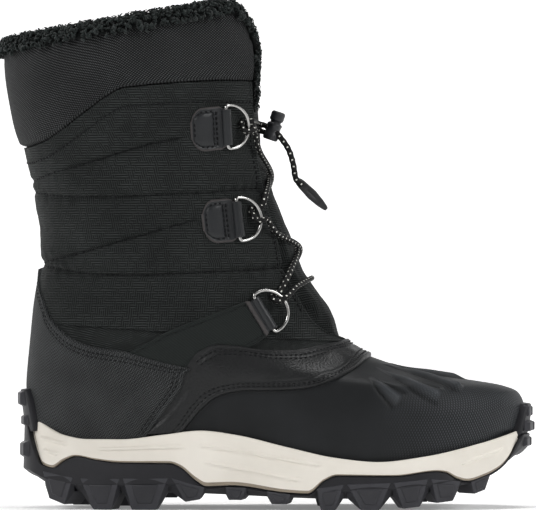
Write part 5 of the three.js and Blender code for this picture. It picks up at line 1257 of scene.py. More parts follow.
def side_ribs(x, z):
    """Height of the raised lines, from 0 to 1, at a place on the midsole's side: flat-topped ridges."""
    total = np.zeros(x.shape)
    for (x0, z0), (x1, z1) in SIDE_RIBS:
        s = (x / LENGTH - x0) / (x1 - x0)
        off = z - mix(z0, z1, np.clip(s, 0, 1)) * HEIGHT
        inside = smooth(s, -0.02, 0.02) * (1 - smooth(s, 0.98, 1.02))
        total = np.maximum(total, inside * (1 - smooth(np.abs(off), 0.45, 0.95)))
    return total


rim_level = level_at(loop, midsole_rim, 0, 5)
ends = endness(loop)
seat = over_last(loop, 0.0, CLEARANCE)
seat[:, 2] = last(loop, 0.0)[:, 2] - CLEARANCE
wall_top = over_last(loop, rim_level, CLEARANCE)
wall_top[:, 2] = midsole_rim(last(loop, rim_level)[:, 0])
rings = [seat, over_last(loop, np.minimum(1, rim_level - 0.05), CLEARANCE), wall_top - [0, 0, 0.9]]
wall_out, wall_in = mix(RIM_OUT, END_OUT, ends), 0.35
lip = 0.8
for turn in np.linspace(0, np.pi, 9):
    middle_out = (wall_out + wall_in) / 2
    half = (wall_out - wall_in) / 2
    lift = np.minimum(half, lip)
    out = middle_out - np.cos(turn) * half
    ring = plan(loop, out, midsole_rim)
    ring[:, 2] += lift * (np.sin(turn) ** 0.7 - 1)
    rings.append(ring)
lower_out = mix(SIDE_OUT, END_OUT, ends)
outward = unit(last_normal(loop, 2.0) * (1, 1, 0))
STEPS = 30
for k in range(1, STEPS + 1):
    s = k / STEPS
    ring = plan(loop, mix(wall_out, lower_out, s), lambda x: mix(midsole_rim(x) - lip, parting(x), s))
    swell = 0.35 * np.sin(np.pi * s) + 0.85 * side_ribs(ring[:, 0], ring[:, 2]) * (1 - ends * 0.5)
    ring += outward * swell[:, None]
    if k == STEPS:
        ring -= outward * 0.25
    rings.append(ring)
core = skin_out(loop) - SKIN_THICKNESS - CLEARANCE
rings.append(plan(loop, core, parting))
rings.append(plan(loop, core, lambda x: plate_top(x) + CLEARANCE))
# The rows just above the rubber take the taupe: painted shade where the foam turns in.
row_material = np.zeros(len(rings) - 1, int)
row_material[-4:-1] = 1
kept = dict(slot="midsole_foam", replaces=["midsole"])
loft_loop(rings, "foam_midsole", [foam, foam_foot_painted_shade], row_material, **kept)

# %% [markdown]
# ### Outsole
# The dish's wall stands a millimetre inside the foam at the sides. Lugs are slices of its edge that narrow
# towards the ground, so from the side each shows as a trapezium.

# %% Outsole dish, bumpers, lugs and blocks
EDGE_LUGS = [
    # root from and to, tip from and to, height of the tip's back and front
    (-0.432, -0.374, -0.424, -0.393, 0.021, 0.009), (-0.36, -0.285, -0.337, -0.302, 0, 0),
    (-0.279, -0.192, -0.262, -0.215, 0, 0), (-0.186, -0.122, -0.16, -0.131, 0.016, 0.021),
    (-0.083, -0.042, -0.077, -0.051, 0.02, 0.02), (-0.004, 0.042, 0.005, 0.035, 0.012, 0.012),
    (0.092, 0.143, 0.1, 0.128, 0, 0), (0.15, 0.233, 0.177, 0.212, 0, 0),
    (0.238, 0.304, 0.257, 0.29, 0.003, 0.007), (0.31, 0.367, 0.322, 0.354, 0.014, 0.018),
    (0.386, 0.424, 0.395, 0.417, 0.031, 0.039),
]  # fmt: skip
CENTRE_LUGS = [
    # x, length, width, height of the tip
    (-0.36, 0.05, 0.24, 0.006), (-0.27, 0.055, 0.26, 0.004), (-0.19, 0.04, 0.22, 0.02),
    (0.11, 0.045, 0.34, 0.004), (0.2, 0.05, 0.42, 0.002), (0.29, 0.045, 0.36, 0.012),
    (0.37, 0.035, 0.26, 0.034),
]  # fmt: skip
HEEL_BLOCKS = [
    # height, size up, how far out, places in degrees, width in degrees
    (0.22, 0.034, 8, (-5.5, 5.5), 8), (0.176, 0.024, 6.4, (-6, 6), 9), (0.118, 0.036, 7, (-6.5, 6.5), 10),
]  # fmt: skip
TOE_BLOCKS = [
    (0.194, 0.026, 5.9, (-8, 0, 8), 6), (0.164, 0.024, 6.9, (-9, 0, 9), 7),
    (0.133, 0.024, 5.4, (-9, 0, 9), 7),
]  # fmt: skip
LUG_DEPTH, LUG_HEAD = 20.0, 0.012

dish_rings = [plan(loop, skin_out(loop) - SKIN_THICKNESS, plate_top)]
dish_lip = lambda x: parting(x) - CLEARANCE
for out, drop in ((-SKIN_THICKNESS, 0.5), (-SKIN_THICKNESS + 0.5, 0), (-0.5, 0), (-0.12, 0.15), (0, 0.55)):
    dish_rings.append(plan(loop, skin_out(loop) + out, lambda x: dish_lip(x) - drop))
for s in np.linspace(0.15, 1, 10):
    flare = skin_out(loop) + skin_flare(loop) * s
    dish_rings.append(plan(loop, flare, lambda x: mix(dish_lip(x) - 0.55, skin_foot(x), s)))
for turn in np.linspace(0.15, 1, 5):
    out = skin_out(loop) + mix(skin_flare(loop), -TREAD_CHAMFER, turn)
    dish_rings.append(plan(loop, out, lambda x: mix(skin_foot(x), tread_line(x), 1 - (1 - turn) ** 1.6)))
loft_loop(dish_rings, "rubber_outsole", [carbon], slot="outsole_rubber", replaces=["outsole"])

CORNERS = np.array([(-0.5, -0.5), (0.5, -0.5), (0.5, 0.5), (-0.5, 0.5)])


def edge_at(x, sign, out):
    """The point of the sole's outline at x on one side, and the way inwards from it."""
    low, high = 0.0, np.pi
    for _ in range(30):
        middle = (low + high) / 2
        far = plan(np.array([middle]), out(np.array([middle])), 0.0)[0, 0] > x
        low, high = (middle, high) if far else (low, middle)
    angle = np.array([on_side(low, sign)])
    inward = -unit(last_normal(angle, 2.0) * (1, 1, 0))[0]
    return plan(angle, out(angle), 0.0)[0], inward


def lug_slice(sign, root, tip, tip_z):
    """Six corners of a lug's end: from under the dish, up its wall, out, down to the tip and back under."""
    root_point, inward = edge_at(root * LENGTH, sign, skin_out)
    tip_point, tip_inward = edge_at(tip * LENGTH, sign, skin_out)
    top = min(skin_foot(root * LENGTH) + LUG_HEAD * HEIGHT, parting(root * LENGTH) - 0.8)
    bed = lambda p: tread_line(p[0]) + 1
    corners = []
    for point, way, depth, z in (
        (root_point, inward, 1.4, bed), (root_point, inward, 0.4, top - 0.3), (root_point, inward, -0.9, top),
        (tip_point, tip_inward, 0.6, tip_z * HEIGHT), (tip_point, tip_inward, LUG_DEPTH - 4, tip_z * HEIGHT),
        (root_point, inward, LUG_DEPTH, bed),
    ):  # fmt: skip
        p = point + way * depth
        corners.append([p[0], p[1], z(p) if callable(z) else z])
    return np.array(corners)


def outline_prism(first, second):
    """A closed body between two outlines of equally many corners. Its ends are whole faces, so that a bevel
    rounds every edge of it."""
    points = np.concatenate([first, second])
    ids = np.arange(len(points)).reshape(2, -1)
    faces = [quads(ids, wrap=True), ids[:1, ::-1], ids[1:]]
    if enclosed(points, faces) < 0:
        faces = [f[:, ::-1] for f in faces]
    return points, faces, points[:, :2]


lugs = []
for root_from, root_to, tip_from, tip_to, back_tip, front_tip in EDGE_LUGS:
    for sign in (-1, 1):
        back = lug_slice(sign, root_from, tip_from, back_tip)
        front = lug_slice(sign, root_to, tip_to, front_tip)
        lugs.append(outline_prism(back, front))
        # A raised panel on the lug's outer face, drawn in from its edges
        face = np.array([back[2], front[2], front[3], back[3]])
        out = unit(np.cross(face[1] - face[0], face[3] - face[0]))
        out = out if out[1] * sign > 0 else -out
        centre = face.mean(0)
        lugs.append(outline_prism(mix(centre, face, 0.66) - out * 0.8, mix(centre, face, 0.56) + out * 0.55))
ahead, aside = CORNERS.T
for x, length, width, tip in CENTRE_LUGS:
    head_x, foot_x = (x + ahead * length) * LENGTH, (x + ahead * 0.7 * length) * LENGTH
    head = [head_x, aside * width * BALL + TOE_SWING / 3, tread_line(head_x) + 2]
    foot = [foot_x, aside * 0.86 * width * BALL + TOE_SWING / 3, np.full(4, tip * HEIGHT)]
    lugs.append(outline_prism(np.stack(head, -1), np.stack(foot, -1)))
for middle, blocks in ((np.pi, HEEL_BLOCKS), (0.0, TOE_BLOCKS)):
    for z, height, out, places, spread in blocks:
        for place in places:
            ends = []
            for stand, size in ((out - 2.8, 1), (out, 0.66)):
                turn = middle + (place + ahead * spread * size) * RADIANS
                ends.append(plan(turn, np.full(4, stand), (z + aside * height * size) * HEIGHT))
            lugs.append(outline_prism(*ends))
points, faces, _ = join(lugs)
lug_piece = make_piece("outsole_lugs", points, faces, [worn], slot="outsole_rubber", sharp=30)
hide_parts("outsole")
rounded = lug_piece.modifiers.new("round edges", "BEVEL")
rounded.width, rounded.segments = 0.00045, 2
rounded.limit_method, rounded.angle_limit = "ANGLE", 25 * RADIANS


def bumper(middle, low, high, half_angle, outer, name):
    """The part of the outsole that climbs the heel or toe: a tapering tongue of rubber laid on the upper."""
    up, across = np.meshgrid(np.linspace(0, 1, 49), np.linspace(0, 1, 81), indexing="ij")
    angle = middle + half_angle * RADIANS * (across * 2 - 1) * mix(1, 0.72, up**2)
    level = mix(low, high, up)
    edge = np.minimum(np.minimum(across, 1 - across) * 26, (1 - up) * 30)
    out = mix(SKIN_END_OUT, outer, smooth(up * 1.4)) * quarter_round(edge, 1.6)
    walls = skin(over_last(angle, level, out), over_last(angle, level, -0.8))
    make_piece(name, **walls, materials=[carbon], slot="outsole_rubber")


bumper(np.pi, 1.6, 3.8, 15, 4.8, "heel_bumper")
bumper(0.0, 1.5, 3.2, 15, 3.6, "toe_bumper")

# %% [markdown]
# ### Insole
# A soft board lies in the bottom of the boot, where only a look down the shaft finds it.

# %% Insole
angle = np.arange(240) * 2 * np.pi / 240
flat = unit(last_normal(angle, 0.0) * (1, 1, 0))
board = []
for lift, draw in ((0.1, 0.5), (1.2, 0.15), (3.0, 0.1), (3.7, 0.5), (4.0, 1.4)):
    ring = last(angle, 0.0) - flat * (WALL + CLEARANCE + draw)
    ring[:, 2] = footbed(ring[:, 0]) + lift
    board.append(ring)
loft_loop(board, "insole_board", [lining], slot="lining", replaces=["insole"])

# %% [markdown]
# ## D-rings, tabs and ankle straps
# Each side has three rings. The top two hang in folds of leather on stitched tabs, and the lowest in the fold
# of the ankle strap. A ring's frame is its bar's middle, the boot's outward normal there, the way its bow
# points and the way along its bar.

# %% Rings
FASTENERS = {
    "top": (-0.086, 0.7614, -4, 22), "middle": (-0.0638, 0.577, -7, 20.5), "ankle": (-0.0123, 0.388, -33, 0),
}  # fmt: skip
RING_WIRE, RING_HEIGHT, RING_REACH, SLEEVE_WALL, SLEEVE_LENGTH = 2.2, 21.6, 13.0, 1.1, 16.8
TAB_WIDTH, TAB_THICKNESS, STRAP_THICKNESS = 22.0, 1.9, 1.7
SIDES = {"lateral": -1, "medial": 1}


def turned_about(vector, axis, angle):
    along = axis * (axis @ vector) * (1 - np.cos(angle))
    return vector * np.cos(angle) + np.cross(axis, vector) * np.sin(angle) + along


def ring_frame(x, z, dip, sign):
    """Middle of a ring's bar, outward normal, way forward and way across, as a tuple."""
    angle, level = locate(x * LENGTH, z * HEIGHT)
    angle = on_side(angle, sign)
    normal = last_normal(angle, level)
    middle = last(angle, level) + normal * (2 * CLEARANCE + SLEEVE_WALL + RING_WIRE / 2)
    ahead = unit(np.array([1.0, 0, 0]) - normal * normal[0])
    ahead = turned_about(ahead, normal, dip * RADIANS * sign)
    across = unit(np.cross(normal, ahead))
    return middle, normal, ahead, across if across[2] > 0 else -across


def on_frame(place, forward, across, out):
    middle, normal, ahead, along_bar = place
    forward, across, out = [np.asarray(v, float)[..., None] for v in (forward, across, out)]
    return middle + ahead * forward + along_bar * across + normal * out


frames = {}
for row, (x, z, dip, _) in FASTENERS.items():
    for side, sign in SIDES.items():
        frames[row, side] = ring_frame(x, z, dip, sign)
half = RING_HEIGHT / 2
bend = 1.6  # the radius of the wire's bend from the bar to the bow
bar = [(0, a) for a in np.linspace(-half + bend, half - bend, 12)]
turns = np.linspace(np.pi / 2, -np.pi / 2, 40)
bow = [(RING_REACH - half + half * np.cos(t), half * np.sin(t)) for t in turns]
elbow = [(bend - bend * np.cos(t), half - bend + bend * np.sin(t)) for t in np.linspace(0.2, np.pi / 2, 5)]
ring_path = np.array(bar + elbow + bow + [(a, -b) for a, b in elbow[::-1]])
for (row, side), place in frames.items():
    line = on_frame(place, ring_path[:, 0], ring_path[:, 1], 0 * ring_path[:, 0])
    points, faces, cloth = tube(line, RING_WIRE / 2 - 0.25, 20, hint=place[1], closed=True)
    kept = dict(slot="nickel", replaces=[f"ring_{row}_{side}"])
    make_piece(f"d_ring_{row}_{side}", points, faces, [nickel], sharp=None, **kept)


# %% Leather tabs
def rounded_bar(radius, low, high, lip, steps=5):
    """Radius and height pairs of a turned bar whose two ends are rounded by lip."""
    turn = np.linspace(0, np.pi / 2, steps)
    start = [(radius - lip + lip * np.sin(t), low + lip - lip * np.cos(t)) for t in turn]
    return start + [(radius - lip + lip * np.cos(t), high - lip + lip * np.sin(t)) for t in turn]


def sleeve(place):
    """The fold of leather round a ring's bar: a pipe with rounded lips, closed inside and out."""
    inner, h = RING_WIRE / 2 + CLEARANCE, SLEEVE_LENGTH / 2 + 0.5
    outer = inner + SLEEVE_WALL
    bar = rounded_bar(outer, -h, h, 0.5, 4)
    middle = [(outer, a) for a in np.linspace(-h + 1, h - 1, 9)]
    r, a = np.array([(inner, -h)] + bar[:4] + middle + bar[4:] + [(inner, h)]).T
    turn = np.arange(32) * 2 * np.pi / 32
    grid = on_frame(place, r[:, None] * np.cos(turn), a[:, None] + 0 * turn, r[:, None] * np.sin(turn))
    ids = np.arange(grid.size // 3).reshape(len(r), 32)
    faces = [quads(np.concatenate([ids, ids[:1]]), wrap=True)]
    return grid.reshape(-1, 3), faces, np.repeat(a, 32)[:, None] * [1, 1]


def sheet_over(place, back, side, sign):
    """Angle and level on the last under places behind a ring's bar and beside its middle."""
    p = on_frame(place, -back, side, 0 * back)
    angle, level = locate(p[..., 0], p[..., 2])
    return on_side(angle, sign), level


TAB_NOSE, INSET = 8, 2.2  # the round end's length, and how far the stitches lie inside the edge
tab_stitches = []
for (row, side), place in frames.items():
    reach = FASTENERS[row][3]
    if not reach:
        continue
    sign = SIDES[side]
    along, across = np.meshgrid(np.linspace(0, 1, 65), np.linspace(-1, 1, 57), indexing="ij")
    back = mix(reach, 0.6, along)
    nose = np.clip((reach - back) / TAB_NOSE, 0, 1)
    wide = np.maximum(np.sqrt(1 - (1 - nose) ** 2), 0.4) * TAB_WIDTH / 2
    wide = mix(SLEEVE_LENGTH / 2, wide, smooth((back - 1) / 4))
    angle, level = sheet_over(place, back, across * wide, sign)
    from_side = (1 - np.abs(across)) * wide
    from_edge = np.minimum(from_side, reach - back)
    inside = np.minimum(from_edge - 2.3, back - 8.6)
    window = 1.15 * quarter_round(inside, 4.5)
    groove = 0.35 * bump(inside, 0.6) * (from_edge > 1.2)
    groove += 0.35 * bump(back - 6.8, 0.6) * smooth(from_side, 1.5, 2.5)
    lift = 3.2 * smooth(1 - back / 6.2) ** 1.3
    height = CLEARANCE + 1.5 * quarter_round(from_edge, 1.0) + window - groove + lift
    body = skin(over_last(angle, level, height), over_last(angle, level, -0.4 + 0 * height))
    points, faces, cloth = join([(body["points"], body["faces"], body["uv"]), sleeve(place)])
    cut = np.zeros(sum(len(f) for f in faces), int)
    cut[: 64 * 56] = (from_edge[:-1, :-1] < 0.9).ravel()
    kept = dict(slot="synthetic_leather", replaces=[f"tab_{row}_{side}"])
    make_piece(f"leather_tab_{row}_{side}", points, faces, [tab_leather, edge_leather], cut, **kept)
    half_wide, turn = TAB_WIDTH / 2 - INSET, np.linspace(-np.pi / 2, np.pi / 2, 40)
    legs = np.linspace(8.4, reach - TAB_NOSE, 14)
    round_back = reach - TAB_NOSE + (TAB_NOSE - INSET) * np.cos(turn)
    window_back = np.concatenate([legs, round_back, legs[::-1]])
    window_side = np.concatenate([0 * legs - half_wide, half_wide * np.sin(turn), 0 * legs + half_wide])
    rows = [(window_back, window_side)]
    rows += [(np.full(24, stop), np.linspace(-half_wide, half_wide, 24)) for stop in (8.6, 6.8)]
    for row_back, row_side in rows:
        angle, level = sheet_over(place, row_back, row_side, sign)
        tab_stitches.append(sew(angle, level, CLEARANCE + 1.5 + 0 * angle, 2.4, 1.7, 0.85))

# %% [markdown]
# ### Ankle straps
# A strap of 22 mm webbing comes out from under the counter and the band, runs up over the ankle and is folded
# round the lowest ring. A leather keeper is stitched across it beside the fold.

# %% Ankle straps
STRAP_TOP = [(-0.31, 0.285), (-0.262, 0.316), (-0.227, 0.336), (-0.165, 0.37), (-0.108, 0.395), (-0.052, 0.42)]
STRAP_BOTTOM = [(-0.28, 0.235), (-0.235, 0.262), (-0.2, 0.27), (-0.14, 0.285), (-0.077, 0.303), (-0.023, 0.326)]
STRAP_RUN = 0.84  # the share of the strap before it turns square to the ring
strap_top, strap_bottom = edge_path(STRAP_TOP), edge_path(STRAP_BOTTOM)


def strap_place(place, along, across, sign):
    """A place on the strap: along from the counter to the fold, across from its lower to its upper edge. Its
    last part runs square to the ring's bar, from 6.2 mm behind it."""
    share = np.minimum(along / STRAP_RUN, 1)
    low, high = [path(share) for path in strap_bottom], [path(share) for path in strap_top]
    behind = mix(6.2, 1.0, np.clip((along - STRAP_RUN) / 0.16, 0, 1))
    wide = mix(20.5, SLEEVE_LENGTH, smooth(along, 0.86, 0.97))
    p = on_frame(place, -behind, (across - 0.5) * wide, 0 * along)
    near_angle, near_level = locate(p[..., 0], p[..., 2])
    near = smooth(along, 0.4, STRAP_RUN)
    angle = mix(mix(low[0], high[0], across), near_angle, near)
    level = mix(mix(low[1], high[1], across), near_level, near)
    return on_side(angle, sign), level


def cover_line(x):
    """Height of the upper edges of the counter and the band, which lie over the strap."""
    covers = [np.array(rows, float) for rows in (COUNTER_TOP, BAND_TOP[4:])]
    heights = [np.interp(x / LENGTH, rows[:, 0], rows[:, 1], left=0, right=0) for rows in covers]
    return np.maximum(*heights) * HEIGHT


strap_stitches = []
for side, sign in SIDES.items():
    place = frames["ankle", side]
    along, across = np.meshgrid(np.linspace(0, 1, 121), np.linspace(0, 1, 49), indexing="ij")
    angle, level = strap_place(place, along, across, sign)
    from_edge = np.minimum(across, 1 - across) * 21
    round_edge = quarter_round(from_edge, 0.8)
    keeper = smooth(along, 0.836, 0.85)
    height = CLEARANCE + STRAP_THICKNESS * (0.35 + 0.65 * round_edge) + 0.9 * keeper * round_edge
    p = last(angle, level)
    covered = smooth((cover_line(p[..., 0]) - p[..., 2]) / 2.2, -0.3, 0.9)
    covered = np.maximum(covered, 1 - smooth(along, 0.02, 0.1))
    height = mix(height, 0.45, covered)
    height += 2.1 * smooth(along, 0.9, 0.99) * round_edge - 0.35 * bump(from_edge - 1.7, 0.5) * (1 - keeper)
    height -= 0.3 * bump((along - 0.82) * 62, 0.6) * smooth(from_edge, 1, 2)
    outer, inner = over_last(angle, level, height), over_last(angle, level, -0.5 + 0 * height)
    pick = np.where(along > 0.895, 1, np.where(keeper > 0.3, 2, 0))[:-1, :-1].ravel()
    body = skin(outer, inner, pick=pick)
    pipe = sleeve(place)
    points, faces, cloth = join([(body["points"], body["faces"], body["uv"]), pipe])
    # The pipe's quads come between the strap's quads and its triangles
    numbers = np.insert(body["material_of"], len(body["faces"][0]), np.ones(len(pipe[1][0]), int))
    kept = dict(uv=cloth, slot="webbing", replaces=[f"ankle_strap_{side}"])
    make_piece(f"webbing_strap_{side}", points, faces, [webbing, tab_leather, edge_leather], numbers, **kept)
    angle, level = strap_place(place, np.full(24, 0.82), np.linspace(0.09, 0.91, 24), sign)
    strap_stitches.append(sew(angle, level, CLEARANCE + STRAP_THICKNESS + 0.05 + 0 * angle, 2.4, 1.8, 0.9))
    for edge in (0.085, 0.915):
        angle, level = strap_place(place, np.linspace(0.12, 0.8, 60), np.full(60, edge), sign)
        line = over_last(angle, level, CLEARANCE + STRAP_THICKNESS - 0.2)
        seen = cover_line(line[:, 0]) < line[:, 2] - 1
        strap_stitches.append(stitch_row(line[seen], last_normal(angle, level)[seen], 2.3, 1.6, 0.45))

# %% [markdown]
# ## The lace
# One lace runs through all six rings and crosses over the tongue twice. At each ring it comes over the bow,
# turns inside the ring and leaves under it. It is drawn tight between these points, so its length is given:
# 0.57 m of 3 mm braid.

# %% Lace path
LACE_CRESTS = {"top": 0.77, "upper": 0.67, "lower": 0.518, "lowest": 0.456}


def over_throat(degrees, height, out):
    angle = degrees * RADIANS
    level = level_at(np.array([angle]), height, 10.0)[0]
    return over_last(angle, level, out)


def crest(run, lift=0.0):
    height = LACE_CRESTS[run] * HEIGHT
    stand = float(tongue_stand(level_at(np.array([0.0]), height, 10.0)[0]))
    return over_throat(0, height, stand + CORD / 2 + 0.3 + lift)


def lace_end(row, side, at):
    return on_frame(frames[row, side], RING_REACH + 1.75, at, 0.0)


SHOULDER = 31  # degrees from the middle to where the lace leaves the tongue's edge


def lace_run(from_row, from_side, from_at, run, to_row, to_side, to_at, lift=0.0):
    """Points of one run from ring to ring over the tongue, without its two ends."""
    start, end = lace_end(from_row, from_side, from_at), lace_end(to_row, to_side, to_at)
    middle = crest(run, lift)
    spots = []
    for p, side in ((start, from_side), (end, to_side)):
        spots.append(over_throat(-SIDES[side] * SHOULDER, mix(p[2], middle[2], 0.45), CORD / 2 + 2.1))
    return [spots[0], middle, spots[1]]


def round_bow(row, side, over, under, flip=False):
    """Points of the lace at a ring: over the bow at one place, turned inside it and out under it."""
    bow = RING_HEIGHT / 2
    near, far = [RING_REACH - bow + np.sqrt(bow**2 - at**2) for at in (over, under)]
    spots = [
        (near + 3.2, over * 1.05, 0.9), (near + 0.2, over, 2.35), (near - 2.8, over * 0.9, 1.2),
        (mix(near, far, 0.5) - 3.5, mix(over, under, 0.5), -0.5), (far - 2.8, under * 0.9, -2.0),
        (far + 0.6, under, -2.3), (far + 3.2, under * 1.05, -1.0),
    ]  # fmt: skip
    line = [on_frame(frames[row, side], f, a, o) for f, a, o in spots]
    return line[::-1] if flip else line


lock_left = lock_middle - lock_forward * (HALF_LOCK - 1) + lock_axis * 0.4
lace = [lock_left + lock_axis * 1.2, lock_left - lock_forward * 6 + lock_axis * 1.2]
lace += round_bow("top", "lateral", -2.8, 1.8, flip=True)
lace += lace_run("top", "lateral", -3.4, "upper", "middle", "medial", 3.4, lift=0.3)
lace += round_bow("middle", "medial", -2.0, 3.4, flip=True)
lace += lace_run("middle", "medial", -3.4, "lower", "ankle", "lateral", 3.4, lift=-1.0)
lace += round_bow("ankle", "lateral", 1.4, 5.4, flip=True)
lace += lace_run("ankle", "lateral", 1.4, "lowest", "ankle", "medial", 1.4)
lace += round_bow("ankle", "medial", 1.4, 5.4)
lace += lace_run("ankle", "medial", 3.4, "lower", "middle", "lateral", -3.4, lift=0.7)
lace += round_bow("middle", "lateral", -1.4, 5.2)
lace += lace_run("middle", "lateral", 3.4, "upper", "top", "medial", -3.4, lift=-1.2)
lace += round_bow("top", "medial", -3.2, 3.2)
lace += [over_throat(-SHOULDER, 0.765 * HEIGHT, CORD / 2 + 2.1), crest("top", 0.4) + [0, 3, 0]]
lace += [lock_middle + np.array([0.4, 4.6, -0.2])]
lace_line = through(lace, 1100)
print("lace through the rings:", round(float(walked(lace_line)[-1])), "mm")
second = [lock_left - lock_axis * 2.0, lock_left - lock_forward * 6 - lock_axis * 2.1]
for forward, at, out in ((3.4, -0.8, -0.8), (0.6, -0.8, -2.4), (-2.4, -0.7, -1.6)):
    second.append(on_frame(frames["top", "lateral"], RING_REACH + forward, at, out))
# Drawn 2.6 mm thick, as the lace measures in the photograph
pieces = [tube(line, 1.3, 16, relief=braid) for line in (lace_line, through(second, 60))]
points, faces, cloth = join(pieces)
runs = ["lace_top_run", "lace_crossing_upper", "lace_crossing_lower", "lace_lowest_run"]
make_piece("laced_cord", points, faces, [lace_braid], None, cloth, sharp=None, slot="lace_cord", replaces=runs)

# %% [markdown]
# ### Cord lock, hanging ends and clip
# The lock is a barrel with a spring button. Each of the two cord ends leaves the lock
# and hangs to the clip that both end in.


# %% Lock, clip and ends
def lathe(profile, middle, axis, sides=40):
    """A turned piece from radius and height pairs about an axis, closed at both ends."""
    r, h = np.array(profile, float).T
    side = unit(np.cross(axis, [0.0, 1.0, 0.0]))
    other = np.cross(axis, side)
    turn = np.arange(sides) * 2 * np.pi / sides
    ring = side * np.cos(turn)[:, None] + other * np.sin(turn)[:, None]
    grid = middle + axis * h[:, None, None] + ring[None] * r[:, None, None]
    return closed_tube(grid, [middle + axis * h[0], middle + axis * h[-1]])


barrel = rounded_bar(HALF_LOCK, -4.4, 4.4, 0.9)
waist = [(HALF_LOCK, -1.2), (HALF_LOCK - 0.25, -0.9), (HALF_LOCK - 0.25, 2.6), (HALF_LOCK, 2.9)]
points, faces = lathe(barrel[:5] + waist + barrel[5:], lock_middle, lock_axis)
make_piece("cord_lock_barrel", points, faces, [plastic], slot="black_plastic", replaces=["cord_lock"])
stem = [(2.7, -0.3), (2.7, 0.35)]
head = [(2.9, 0.5)] + rounded_bar(3.55, 0.6, 5.7, 1.2)
points, faces = lathe(stem + head, lock_middle + lock_axis * 4.75, lock_axis)
kept = dict(slot="black_plastic", replaces=["cord_lock_button"])
make_piece("cord_lock_plunger", points, faces, [plastic], **kept)

CLIP_LENGTH, CLIP_WIDTH = 21.0, 5.4
wide_way = np.cross([0, 1.0, 0], clip_axis)
s = np.concatenate([[0, 0.015], np.linspace(0.04, 0.96, 48), [0.985, 1]])
WIDE = [(0, 0.5), (0.05, 0.72), (0.15, 0.84), (0.5, 1), (0.78, 0.78), (0.95, 0.5), (1, 0.3)]
DEEP = [(0, 0.5), (0.05, 0.8), (0.2, 0.84), (0.5, 0.8), (0.8, 0.62), (1, 0.3)]
half_wide, half_deep = [CLIP_WIDTH / 2 * np.interp(s, *np.array(rows).T) for rows in (WIDE, DEEP)]
turn = np.arange(40) * 2 * np.pi / 40
power = lambda v: np.sign(v) * np.abs(v) ** 0.72
wide = half_wide[:, None] * power(np.cos(turn))
deep = half_deep[:, None] * power(np.sin(turn))
slot_mark = smooth(s, 0.3, 0.36)[:, None] * (1 - smooth(s, 0.74, 0.8))[:, None]
centre_dent = 1 - 0.34 * slot_mark * bump(wide, 0.9)
rim_edge = 1 + 0.14 * bump(np.abs(np.cos(turn)) - 0.72, 0.12) * smooth(s, 0.12, 0.2)[:, None]
grid = clip_top + clip_axis * (s * CLIP_LENGTH)[:, None, None] + wide_way * wide[..., None]
grid = grid + np.array([0, 1.0, 0]) * (deep * centre_dent * rim_edge)[..., None]
points, faces = closed_tube(grid, [grid[0].mean(0), grid[-1].mean(0)])
clip = make_piece("cord_clip", points, faces, [tpu], slot="black_plastic", replaces=["cord_end"])

for side, line in tail_lines.items():
    points, faces, cloth = tube(line, CORD / 2 - 0.05, 16, relief=braid)
    kept = dict(uv=cloth, sharp=None, slot="lace_cord", replaces=[f"cord_tail_{side}"])
    tail = make_piece(f"hanging_cord_{side}", points, faces, [lace_braid], **kept)
    length = float(walked(line)[-1]) / 1000
    path = [tuple(p) for p in (line[::6] / 1000)]
    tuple(path[0])

# %% [markdown]
# ## Fur
# The collar is a roll of curled pile. A dark roll gives its body, and thousands of small curls stand on it.
# Each is a cone bent round a short helix. Its tip is marked, so that the shader can lighten it as painted
# highlight on the pile; the roll under the curls stays darker as painted shade.

# %% Fur roll and curls
FUR_HEIGHT, FUR_INSIDE, FUR_TURN, FUR_FOOT = 8.8, 8.0, 0.1, 16.45


def fur_frame(share):
    """Place, normal, outward way and size at a share of the fur's length from one front edge to the other."""
    side = np.where(share < 0.5, 1.0, -1.0)
    s = np.minimum(share, 1 - share)
    row = np.where(s < FUR_TURN, mix(FUR_FOOT, TOP, s / FUR_TURN), TOP)
    along = np.clip((s - FUR_TURN) / (0.5 - FUR_TURN), 0, 1)
    angle = side * mix(throat(row), np.pi, along)
    level = row_level(row, angle)
    normal = last_normal(angle, level)
    rise = CUFF_RISE * smooth((row - 16) / 1.5)
    below = np.minimum(level, TOP - 0.1)
    up = unit(last(angle, below + 0.1) - last(angle, below))
    ahead = unit(last(angle - side * 0.02, level) - last(angle, level))
    corner = smooth((s - FUR_TURN * 0.6) / (FUR_TURN * 0.8))
    outward = unit(mix(ahead, up, corner[..., None]))
    return over_last(angle, level, rise), normal, outward, mix(0.6, 1, corner)


def pile_profile(turn, size):
    """Out and up on the roll's section at a turn from 0, outside and low, to 1, inside and low."""
    across = mix(1.0, -6.4, turn)
    up = FUR_HEIGHT * size * (0.12 + 0.68 * np.sin(np.pi * np.clip(turn, 0, 1)) ** 0.7)
    return across * np.where(across < 0, mix(0.7, 1, size), size), up


rng = np.random.default_rng(5)
STATIONS = 260
share = np.linspace(0.001, 0.999, STATIONS)
place, normal, outward, size = fur_frame(share)
turn = np.linspace(0, 1, 18)
out, up = pile_profile(turn[None], size[:, None])
grid = place[:, None] + normal[:, None] * out[..., None] + outward[:, None] * up[..., None]
grid = grid + outward[:, None] * (0.8 * ripple(grid, 8, 51))[..., None]
depth = np.linspace(0.4, -WALL - 1.4, 6)[:, None] * size[:, None, None]
under = place[:, None] + normal[:, None] * depth + outward[:, None] * 0.05
section_grid = np.concatenate([grid, under[:, ::-1]], 1)
points, faces = closed_tube(section_grid, [section_grid[0].mean(0), section_grid[-1].mean(0)])
roll = (points, faces, np.zeros((len(points), 2)))

